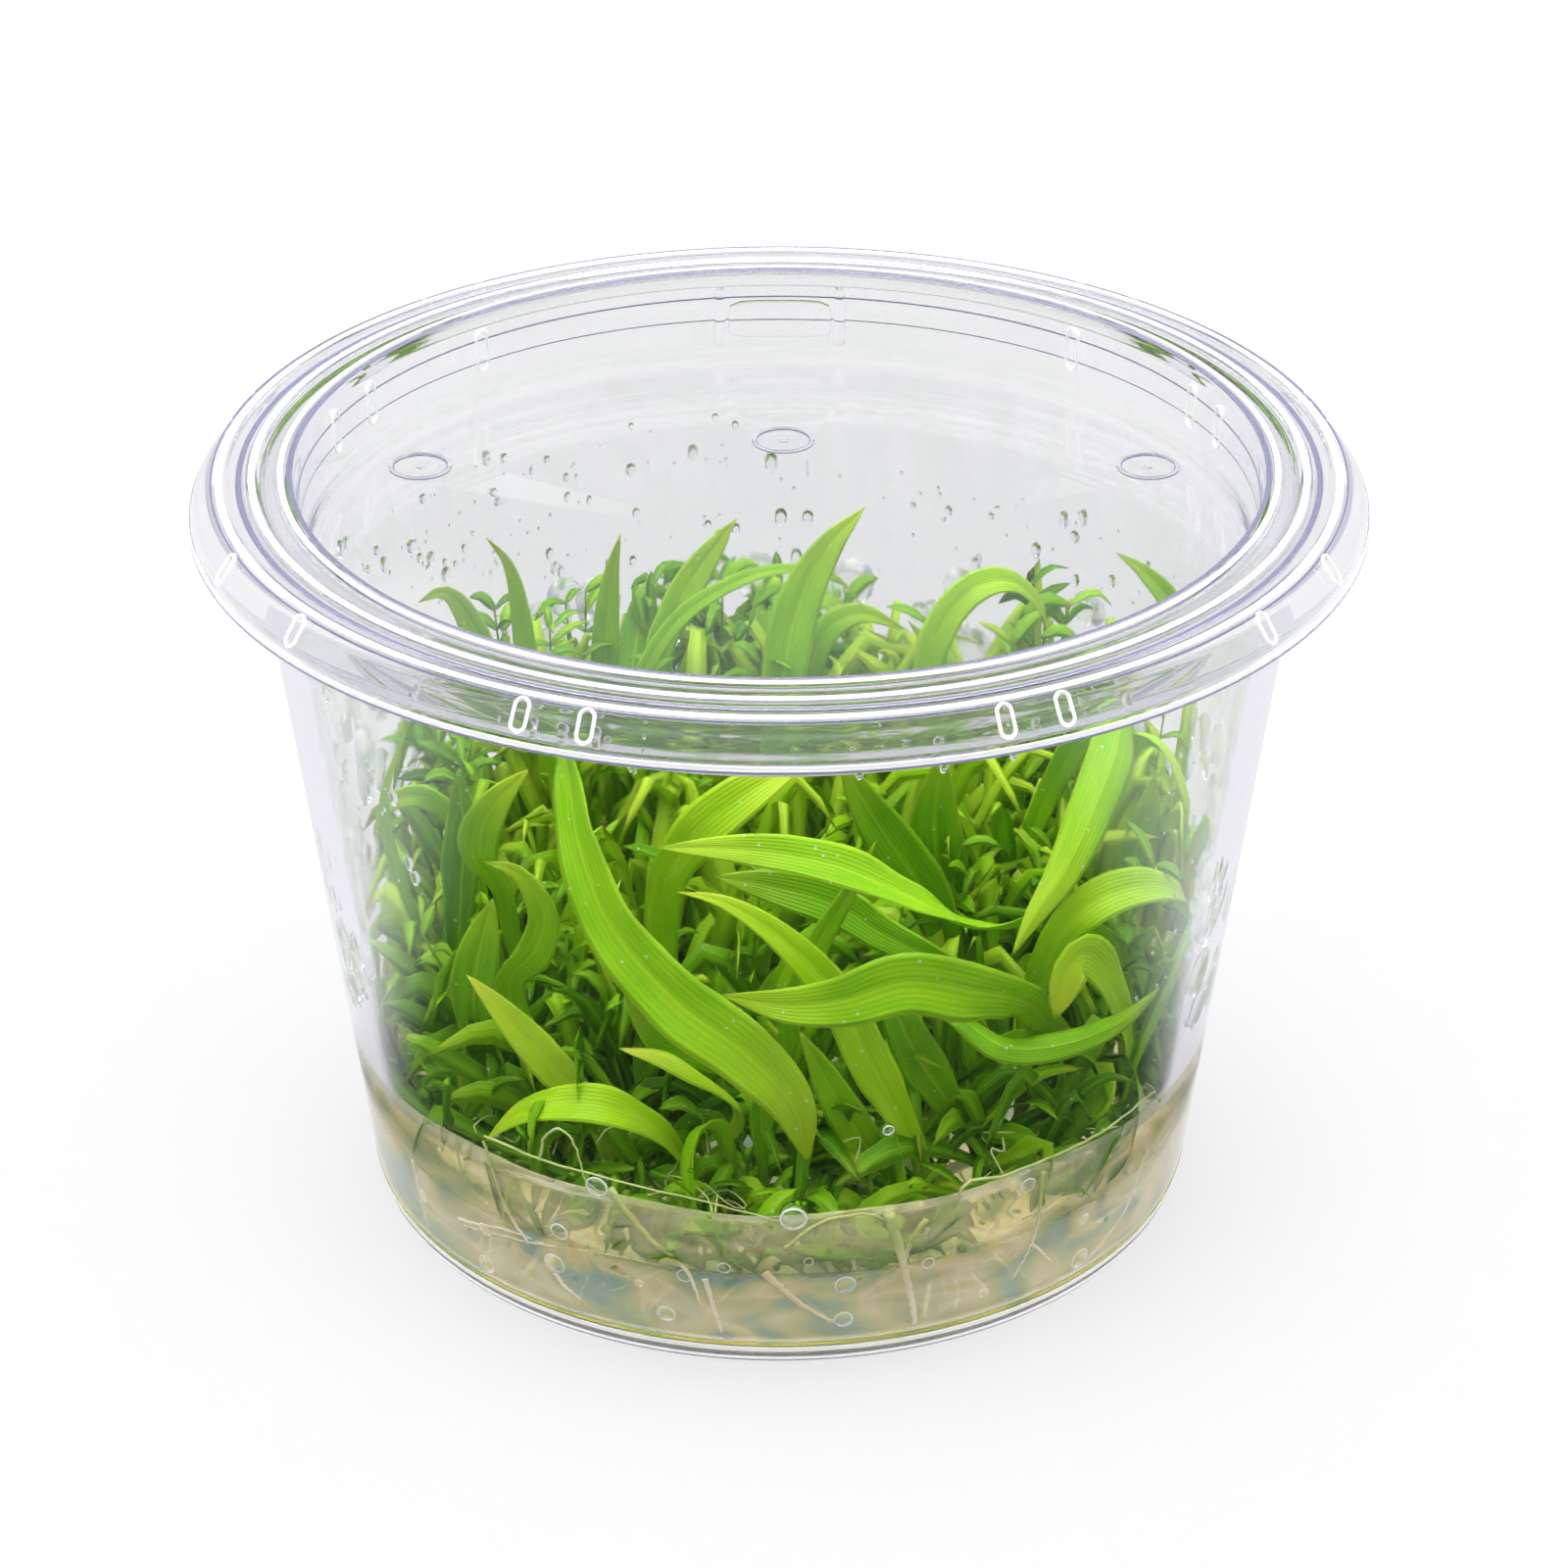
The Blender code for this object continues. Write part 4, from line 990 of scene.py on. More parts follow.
STRAPS = [
    Strap(6.6, 0.8, L, F, Age.FRESH, [(-12.6, -5.8, 12.5), (-20, -3.5, 30), (-23, -6, 50), (-22.3, -12, 57.5),
          (-20.8, -20, 55), (-19.5, -26, 50), (-16.3, -31, 43.6), (-10, -35, 37.6), (-3.4, -37, 33),
          (1.2, -37.3, 27.3), (3, -35.5, 19)]),
    Strap(5.0, 0.6, F, F, Age.GROWN, [(-8.5, -7.4, 12.5), (-6, -18, 20), (-7, -26, 26), (-12, -30, 31),
          (-15.5, -30.5, 37)]),
    Strap(4.6, 0.7, T, F, Age.FRESH, [(19.7, -8, 12.5), (23.5, -12, 26), (25, -18, 36), (22.5, -25.5, 40.3),
          (18.3, -28, 42), (12.9, -30, 46), (5.2, -31, 50.3), (-3.4, -31, 52), (-11.9, -31, 52.3)]),
    Strap(4.4, 0.75, U, F, Age.GROWN, [(22, -18.2, 12.5), (22.3, -18.5, 22), (20.5, -20, 29.5),
          (16.2, -21.5, 33.5), (10.3, -22, 37.2), (5.4, -22, 40.6), (-1.5, -22, 42.8), (-6.5, -21.5, 43.5)]),
    Strap(4.4, 0.35, F, U, Age.BRIGHT, [(14.5, -29.7, 12.5), (13.8, -31.5, 18), (11.5, -33, 24),
          (8.5, -34.3, 31), (5.5, -34, 37.5), (0.5, -34.5, 44), (-5, -34.6, 48.2), (-9.9, -34.5, 49.5)]),
    Strap(4.8, 0.5, F, F, Age.GROWN, [(20.5, -23.4, 12.5), (18.5, -26, 18), (15.5, -28.5, 24), (12.5, -30.6, 31),
          (9.5, -31, 40)]),
    Strap(6.2, 0.62, F, F, Age.FRESH, [(29.5, -10.8, 12.5), (29.5, -15.5, 19), (28.5, -20, 24.5),
          (26.5, -25.5, 29.5), (24.5, -29.4, 34), (22, -34.2, 37.8), (18.5, -37, 40), (12.2, -39, 42.2),
          (6.1, -38, 39.4), (0.4, -36.8, 38.2), (-5.8, -33, 37)]),
    Strap(3.0, 0.6, U, F, Age.GROWN, [(14.5, -24.2, 12.5), (12.5, -23.5, 20), (12, -25, 27), (13.3, -27, 31.5),
          (16.9, -31, 33.6), (21.7, -34.2, 31.9), (27.5, -32.6, 31.3), (33.7, -27, 30.6), (38, -22, 31.6)]),
    Strap(4.8, 0.82, R, F, Age.BRIGHT, [(32.2, -10, 12.5), (35.3, -16.5, 18), (34.8, -21.5, 26), (32.6, -25, 34),
          (30.2, -27.8, 38.6), (28.2, -29.8, 38.2), (27, -30.6, 32.8)]),
    Strap(6.0, 0.65, U, F, Age.FRESH, [(24.6, -22.3, 12.5), (27.6, -23.5, 16), (30.6, -23.8, 19.5),
          (33.6, -22.5, 22.8)]),
    Strap(5.0, 0.7, F, F, Age.FRESH, [(18.8, -5, 12.5), (25, 0, 32), (31.5, -1.5, 49), (34.3, -7.5, 56),
          (33.7, -14, 54), (31, -20, 50.3), (28, -25, 46.3), (25, -28, 43), (22.6, -30, 39.4)]),
    Strap(4.2, 0.6, F, U, Age.BRIGHT, [(24.8, -19.1, 12.5), (25, -20.5, 24), (25.8, -23.5, 33),
          (28.2, -25, 39.8), (31.6, -24, 42.6), (36.2, -20.5, 42), (40.3, -16.5, 39), (42, -12.5, 34)]),
    Strap(3.4, 0.6, F, F, Age.FRESH, [(27.8, -9.9, 12.5), (27.8, -13, 24), (29, -16, 32), (31, -17.8, 35.3),
          (33.4, -17.5, 33.5), (34.6, -15.5, 28), (34, -14, 24)]),
    Strap(3.8, 0.6, F, F, Age.FRESH, [(-19, -23, 12.5), (-23.5, -22.5, 22), (-27, -24, 32.2), (-24, -27, 38.5),
          (-23, -28, 43.5), (-25.4, -28, 47.9), (-28.8, -27, 48.5)]),
    Strap(4.8, 0.7, F, F, Age.GROWN, [(-29, -12.8, 12.5), (-28.7, -17, 16), (-29.8, -20, 22), (-30.7, -21.2, 28),
          (-30.2, -21, 34), (-28.6, -19.8, 40.2)]),
    Strap(3.8, 0.5, F, F, Age.PALE, [(-16.5, -27.9, 12.5), (-19, -28.2, 21), (-23, -28.2, 26.6),
          (-27.3, -28, 32.3), (-30.8, -27, 35.9)]),
    Strap(3.2, 0.5, U, F, Age.GROWN, [(-19.8, -25, 12.5), (-24.5, -23.5, 13.5), (-29, -22, 16.5), (-34, -20, 20),
          (-39, -17.5, 24.5)]),
    Strap(4.2, 0.5, U, U, Age.BRIGHT, [(-6.8, -29.5, 12.5), (-9.5, -31.5, 17), (-12, -33, 21.5),
          (-17, -34, 24.8), (-22, -33, 24.5), (-26, -31, 21.8), (-29.3, -29.5, 18)]),
    Strap(3.4, 0.55, B, F, Age.FRESH, [(-4.5, -31.8, 12.5), (-5, -32.3, 18), (-6.2, -33.6, 22.3),
          (-8, -35.5, 22.6), (-8.8, -37, 18.5), (-8.2, -38, 14), (-7.3, -38.6, 11.5)]),
    Strap(2.4, 0.6, F, F, Age.GROWN, [(-1.4, -30.6, 12.5), (-1.7, -32.5, 18), (-1.7, -33, 24), (-1.2, -33, 29)]),
    Strap(3.0, 0.65, U, U, Age.PALE, [(-6, -26.4, 12.5), (-5.2, -28, 17), (-3.8, -30, 21.3), (-6.8, -32, 26.2),
          (-11, -33, 29.7), (-15.8, -33, 31)]),
    Strap(4.0, 0.4, F, F, Age.FRESH, [(11, -28, 12.5), (9.2, -30.5, 17), (6.2, -31, 22.7), (3.9, -30.4, 27.3),
          (2, -30, 31)]),
    Strap(3.8, 0.55, F, F, Age.GROWN, [(19, -19.6, 12.5), (20.3, -22.5, 18), (20.6, -24, 23),
          (19.3, -24.5, 28.5), (18, -25, 33)]),
    Strap(5.6, 0.6, F, F, Age.GROWN, [(15, -9, 12.5), (17.5, -11.5, 26), (15.9, -12.5, 34.5), (12.3, -14, 41.4),
          (8.7, -15.5, 48.2), (5.8, -16, 54.5)]),
    Strap(6.4, 0.6, F, F, Age.GROWN, [(16.5, -4.3, 12.5), (17.5, -5.5, 25), (16.5, -7.5, 35), (15.9, -8.5, 42.5),
          (16.6, -9, 51)]),
    Strap(2.8, 0.5, F, F, Age.FRESH, [(-2.2, -26.8, 12.5), (-0.3, -26.3, 20), (0.9, -26.8, 28), (2, -27.5, 34.3),
          (4.1, -27.5, 40), (6.7, -27.3, 44.8), (9.5, -27, 50.8)]),
    Strap(5.0, 0.75, F, U, Age.BRIGHT, [(-10.5, -7.8, 12.5), (-11.5, -16, 28), (-11.5, -22, 42),
          (-8.5, -24, 49.3), (-5, -23.5, 52.5), (0, -21.5, 55), (4, -20, 56.5)]),
    Strap(1.7, 0.5, L, F, Age.FRESH, [(-31.7, -9, 12.5), (-35, -8.5, 24), (-38.5, -8.5, 33), (-40.4, -9.5, 42.4),
          (-40, -9.5, 47.5), (-38, -8.5, 52.8)]),
    Strap(2.8, 0.7, L, U, Age.FRESH, [(-28.3, -7.3, 12.5), (-29.5, -5.5, 24), (-31.5, -4.8, 34),
          (-33.5, -5, 40.3), (-37, -5, 43.3), (-40.6, -5, 42.2), (-42.6, -5, 38.5)]),
    Strap(4.4, 0.75, L, F, Age.FRESH, [(-26.7, -12.4, 12.5), (-26.5, -14, 25), (-27.5, -16.5, 38),
          (-29.8, -20, 46), (-28, -22, 52), (-24.5, -22, 56)]),
    Strap(4.6, 0.7, L, F, Age.SHADED, [(-31.2, -11.8, 12.5), (-33, -13, 24), (-32.5, -13, 36), (-32, -12.5, 43),
          (-32.5, -11, 50)]),
    Strap(2.6, 0.6, F, F, Age.BRIGHT, [(-22, 16, 12.5), (-25.5, 18, 32), (-27, 18, 50), (-28.2, 17, 58.5),
          (-30.7, 15.5, 63)]),
    Strap(3.0, 0.7, F, F, Age.FRESH, [(-19.5, 16.8, 12.5), (-19, 18.5, 32), (-18.5, 19, 48), (-17.8, 20, 56),
          (-16.7, 20.5, 61)]),
    Strap(3.6, 0.8, F, F, Age.FRESH, [(-3, 15, 12.5), (-10, 14, 30), (-12.8, 16, 47), (-11, 18, 53),
          (-8.3, 20, 57.3), (-4.5, 22, 62)]),
    Strap(1.9, 0.6, F, U, Age.FRESH, [(-10.3, -2.2, 12.5), (-14, 4, 30), (-15, 9, 46), (-13.5, 10, 51.5),
          (-9.7, 12, 55.9), (-4.6, 14, 58.4), (0.5, 16.3, 58.8), (5.6, 18, 57.2), (9, 19, 53)]),
    Strap(5.0, 0.7, F, F, Age.FRESH, [(0.8, 13.3, 12.5), (-0.5, 9, 32), (0.3, 10.5, 48), (2, 13.5, 56),
          (5.1, 16, 61.4), (9, 18.5, 65)]),
    Strap(3.0, 0.75, F, U, Age.FRESH, [(2.5, 17, 12.5), (2, 19, 32), (3.8, 20.5, 47), (8, 22.5, 50.5),
          (13.6, 24, 48)]),
    Strap(3.6, 0.6, F, U, Age.BRIGHT, [(21.2, 13.5, 12.5), (17, 13, 32), (15.5, 13.5, 47), (17, 15, 53),
          (20.6, 17, 56.3), (24.8, 19.5, 55.6), (28, 22.5, 50.5), (28.6, 24.5, 45)]),
    Strap(3.0, 0.75, R, F, Age.GROWN, [(26.4, 13.6, 12.5), (34, 17, 32), (40, 17, 47), (41.3, 18.3, 53.2),
          (38.5, 20, 56.6), (35.5, 22, 58)]),
    Strap(3.2, 0.75, L, U, Age.GROWN, [(-22.7, 13.2, 12.5), (-27, 10, 32), (-30.3, 12, 49), (-32.6, 13.5, 54.8),
          (-35, 14, 57.3), (-37.8, 14, 56)]),
    Strap(3.8, 0.7, F, R, Age.BRIGHT, [(25.5, 9.7, 12.5), (31, 4, 28), (34.5, 0, 42), (37, -1.5, 48),
          (40, -3.5, 48), (42.3, -5.5, 44), (42.8, -6.5, 39.5)]),
    Strap(4.8, 0.65, R, F, Age.GROWN, [(32.7, -7, 12.5), (35, -6, 22), (36.3, -6, 33), (37.7, -6, 40),
          (39, -5, 46)]),
    Strap(2.4, 0.6, R, F, Age.FRESH, [(26.6, 11, 12.5), (36, 5, 22), (41, 0, 33), (42, -1.5, 40),
          (42.3, -2, 45)]),
    Strap(4.4, 0.6, B, B, Age.GROWN, [(-17, 15.3, 12.5), (-17, 24, 28), (-16, 32, 40), (-14, 38, 46),
          (-11, 40.5, 43)]),
    Strap(4.6, 0.6, B, B, Age.FRESH, [(0, 18.9, 12.5), (0, 26, 30), (-1, 34, 42), (-1, 40.5, 46), (1, 43, 42)]),
    Strap(4.4, 0.6, B, B, Age.GROWN, [(23.4, 14.8, 12.5), (20.5, 23, 28), (18.5, 32, 38), (14, 38.5, 42)]),
]

# Crowns of each runner, with the tips of their main roots
RUNNERS = {
    "front": [
        ((-17, -25), [(-13, -37, 3), (-25, -31, 4)]),
        ((-4, -29), [(5, -38, 3), (-6, -37, 5)]),
        ((14, -27), [(14, -37.5, 3), (20, -35, 5)]),
        ((22, -21), [(27.3, -29.2, 3.4), (33, -20, 5)]),
    ],
    "middle": [
        ((-29, -10), [(-37, -13, 3), (-34, -22, 5)]),
        ((-10, -5), [(-13, -14, 4), (-2, 1, 5)]),
        ((17, -7), [(10, -13, 4), (24, -2, 5)]),
        ((30, -8), [(37, -12, 3), (36, -3, 5)]),
    ],
    "back": [
        ((-20, 14), [(-29, 21, 3), (-15, 25, 5)]),
        ((0, 16), [(-5, 28, 3), (7, 27, 5)]),
        ((24, 12), [(33, 16, 3), (24, 25, 5)]),
    ],
}


# Roots and threads that lie against the wall: radius at the start, then (degrees from the front, height)
WALL_ROOTS = [
    (0.42, [(-21.9, 19.8), (-16.9, 14.4), (-12.4, 11.3), (-10.3, 6.4)]),
    (0.55, [(-2.0, 11.4), (2.6, 7.5), (7.3, 4.7)]),
    (0.62, [(14.0, 18.0), (16.0, 12.7), (18.2, 5.3), (18.8, 2.8)]),
    (0.4, [(19.1, 16.6), (16.9, 13.2), (16.7, 9.4)]),
    (0.32, [(36.0, 18.6), (36.4, 12.3), (35.7, 9.3), (33.3, 5.6)]),
    (0.25, [(35.7, 9.3), (37.3, 8.0), (39.5, 6.0)]),
    (0.34, [(58.0, 12.9), (55.0, 6.6), (47.1, 3.2)]),
    (0.42, [(-31.9, 7.3), (-30.2, 5.5), (-27.7, 4.3)]),
    (0.28, [(-48.8, 7.9), (-39.5, 10.0), (-32.7, 10.3)]),
    (0.34, [(-58.9, 11.3), (-58.3, 7.2), (-57.7, 3.4)]),
    (0.36, [(-9.8, 10.3), (-8.9, 7.2), (-7.7, 3.4)]),
    (0.3, [(-35.3, 9.5), (-38.8, 13.4), (-41.2, 20.6)]),
    (0.16, [(-31.8, 21.1), (-30.6, 24.3), (-28.2, 26.0), (-26.3, 24.4), (-25.3, 20.5), (-23.0, 19.0)]),
    (0.14, [(-40.7, 21.4), (-31.0, 21.3), (-19.8, 21.1), (-9.4, 20.1), (0.6, 17.9)]),
    (0.18, [(22.8, 17.4), (24.6, 20.1), (29.7, 19.7), (35.8, 19.9), (46.4, 20.0), (57.7, 20.4)]),
    (0.26, [(0.6, 14.5), (5.6, 17.8), (11.4, 18.3), (14.7, 16.3)]),
    (0.16, [(33.7, 13.1), (39.4, 14.4), (40.9, 18.3)]),
    (0.16, [(-46.9, 18.6), (-45.7, 14.1), (-41.7, 12.4)]),
    (0.14, [(-47.8, 7.6), (-36.1, 9.6), (-23.5, 11.3), (-13.8, 11.1)]),
]

# Round leaves against the wall: degrees from the front, height, size, way they point
WALL_LEAFLETS = [
    (-23.5, 14.5, 3.6, 0.3), (47.0, 11.2, 3.2, 1.1), (41.6, 13.0, 2.4, 0.6), (-13.0, 15.0, 2.6, 0.4),
    (-7.0, 8.2, 2.6, 1.2), (-46.1, 15.8, 2.6, 0.8), (28.2, 24.0, 3.2, 1.3), (24.0, 11.0, 1.6, 0.1),
    (-30.7, 17.5, 2.8, 1.0), (-53.0, 19.9, 2.4, 2.0), (51.8, 16.1, 2.6, 0.9), (58.5, 15.2, 2.4, 1.7),
    (9.5, 14.5, 2.6, 1.8), (14.5, 8.8, 2.2, 1.2), (-19.7, 5.7, 1.2, 0.8), (-34.0, 22.0, 2.4, 2.2),
]

# Bubbles at the wall: degrees from the front, height, radius
BUBBLES = [
    (1.8, 18.3, 1.42), (8.7, 9.5, 1.11), (8.6, 5.0, 1.01), (-15.3, 5.0, 1.01), (-31.4, 8.1, 1.22),
    (-44.1, 3.9, 1.11), (45.5, 4.1, 1.22), (45.2, 9.3, 0.71), (-57.6, 7.4, 0.81), (13.4, 28.6, 0.61),
    (-23.7, 19.8, 1.22), (-43.5, 8.6, 0.81), (3.8, 12.8, 0.51), (19.9, 10.8, 0.71), (-12.5, 10.3, 0.81),
    (33.8, 17.4, 0.91), (-18.8, 8.4, 0.51), (28.6, 5.0, 0.61), (-30.0, 12.6, 1.01), (-7.2, 11.8, 0.71),
    (95.0, 8.0, 1.0), (120.0, 15.0, 1.2), (150.0, 7.0, 0.9), (178.0, 12.0, 1.1), (-160.0, 9.0, 0.8),
    (-130.0, 14.0, 1.2), (-100.0, 6.0, 1.0), (75.0, 12.0, 0.9), (-78.0, 13.0, 1.0),
]


def blade_faces(ahead: Array, base: Array, tip: Array, ease: float) -> Array:
    """Which way a blade's upper face looks along its route.

    Args:
        ahead: direction of the route at each place.
        base: wanted direction at the base.
        tip: wanted direction at the tip.
        ease: how fast the face turns to the wanted one from place to place.

    Returns:
        One direction for each place, at right angles to the route.
    """
    faces = np.zeros_like(ahead)
    face = base
    for k, along in enumerate(ahead):
        share = k / (len(ahead) - 1)
        wanted = base + share * (tip - base)
        carried = unit(face - face @ along * along)
        wanted = wanted - wanted @ along * along
        nearer = wanted if wanted @ carried >= 0 else -wanted
        face = unit(carried + ease * nearer)
        faces[k] = face
    return faces


def thread(draft: Draft, places: Array, start: float, end: float, sides: int) -> None:
    """Adds a tapered thread along a route.

    Args:
        draft: the draft to add to.
        places: points of the route.
        start: radius at its start.
        end: radius at its end.
        sides: corners of its section.
    """
    ahead = headings(places)
    across = unit(np.cross(ahead, [0.31, 0.17, 0.93]))
    radii = np.linspace(start, end, len(places))[:, None]
    rings = [ring(place, one, other, sides)
             for place, one, other in zip(places, radii * across, radii * np.cross(ahead, across))]
    shape = (len(places), sides)
    run = np.linspace(0, 1, len(places))[:, None] + np.zeros(shape)
    draft.loft(rings, maps={"grain": np.stack([np.zeros(shape), 10 * run], -1),
                            "blade": np.stack([np.full(shape, 0.3), 0.2 + 0.5 * run], -1),
                            "tone": np.stack([np.full(shape, 0.5), np.zeros(shape)], -1)})


@dataclass
class BladeShape:
    """How a blade's section is drawn along its route."""

    thickness: float = 0.42
    channel: float = 0.12
    rib_groove: float = 0.12
    ruffle: float = 0.18
    ruffle_length: float = 9.0
    half_steps: int = 5
    turn_ease_per_mm: float = 0.16

    def add(self, draft: Draft, places: Array, widths: Array, base: Array, tip: Array, tone: tuple[float, float],
            offset: float) -> None:
        """Adds one blade to a draft.

        Args:
            draft: the draft to add to.
            places: midrib points; the last one is the tip.
            widths: blade width at each of them.
            base: where the upper face looks at the base.
            tip: where it looks at the tip.
            tone: place in the run of greens, and how yellow the tip is.
            offset: shift of the surface pattern, so that no two blades are alike.
        """
        ahead = headings(places)
        count = len(places)
        step = route_length(places) / (count - 1)
        faces = blade_faces(ahead, base, tip, self.turn_ease_per_mm * step)
        upper = np.linspace(-1, 1, 2 * self.half_steps + 1)
        u = np.r_[upper, upper[-2:0:-1]]
        skin = 0.5 * self.thickness * (0.2 + 0.8 * (1 - u ** 2))
        skin[len(upper):] *= -1.0
        skin[[0, len(upper) - 1]] = 0.0
        half, run = 0.5 * widths[:, None], step * np.arange(count)[:, None]
        thin = np.clip(half, 0.25, 1.0)
        rise = 2 * self.channel * half * np.abs(u) ** 1.5
        groove = self.rib_groove * np.exp(-(u / 0.14) ** 2) * thin
        wave = np.sin(TURN * run / self.ruffle_length + offset + 2.2 * np.sign(u))
        out = rise - groove + self.ruffle * wave * u ** 2 * np.clip(half / 2.2, 0, 1) + skin * thin
        aside = half * u
        rings = (places[:, None] + aside[..., None] * np.cross(ahead, faces)[:, None]
                 + out[..., None] * faces[:, None])
        along = np.linspace(0, 1, count)[:, None]
        maps = {"grain": np.stack([aside + offset * 7.3, run + 0 * u], -1),
                "blade": np.stack([0.5 + 0.5 * u + 0 * run, along + 0 * u], -1),
                "tone": np.broadcast_to(np.array(tone), (*aside.shape, 2))}
        draft.loft(rings[:-1], tip=places[-1], maps={name: value[:-1] for name, value in maps.items()})


def strap_width(share: Array, width: float, widest: float) -> Array:
    """Width of a strap leaf along it: a narrow stalk, a long blade and a pointed tip.

    Args:
        share: places along the leaf, from 0 to 1.
        width: greatest width.
        widest: where that is.

    Returns:
        The width at each place.
    """
    rise = np.minimum(share / widest, 1.0)
    fall = np.maximum(share - widest, 0.0) / (1.0 - widest)
    return width * (0.36 + 0.64 * rise ** 2) * (1.0 - fall ** 2.2)


@dataclass
class Tufts:
    """Strap leaves of each crown, joined tuft by tuft."""

    spacing: float = 1.1
    fewest_steps: int = 24
    shape: BladeShape = field(default_factory=BladeShape)

    def build(self, finish: Finishes) -> None:
        """Grows the tufts, one piece for each crown that has leaves.

        Args:
            finish: the object's finishes.
        """
        crowns = [(name, k, np.array(crown[0])) for name, row in RUNNERS.items() for k, crown in enumerate(row, 1)]
        grown: dict[tuple[str, int], list[int]] = {}
        for number, strap in enumerate(STRAPS, start=1):
            foot = np.array(strap.route[0][:2])
            near = min(crowns, key=lambda crown: float(np.linalg.norm(crown[2] - foot)))
            grown.setdefault(near[:2], []).append(number)
        for (name, k), numbers in sorted(grown.items()):
            draft = Draft()
            for number in numbers:
                self.add_strap(draft, STRAPS[number - 1], 1.7 * number)
            make_piece(f"tuft_{name}_{k}", draft, finish.strap_skin, Slot.STRAP,
                       tuple(f"leaf_{n:02d}" for n in numbers))

    def add_strap(self, draft: Draft, strap: Strap, offset: float) -> None:
        """Adds one strap leaf to its tuft.

        Args:
            draft: the tuft.
            strap: the leaf.
            offset: as for BladeShape.add.
        """
        count = max(self.fewest_steps, round(route_length(smooth_route(strap.route, 80)) / self.spacing))
        widths = strap_width(np.linspace(0, 1, count), strap.width, strap.widest)
        self.shape.add(draft, smooth_route(strap.route, count), widths, np.array(strap.base.value),
                       np.array(strap.tip.value), strap.age.value, offset)


def canopy(y: float) -> float:
    """Height of the small growth's top at a depth."""
    return float(np.interp(y, [-38, -34, -30, -25, -20, -10, 0, 12, 25, 34, 40],
                           [13, 16, 20, 26, 31, 38, 43, 47, 48, 46, 41]))


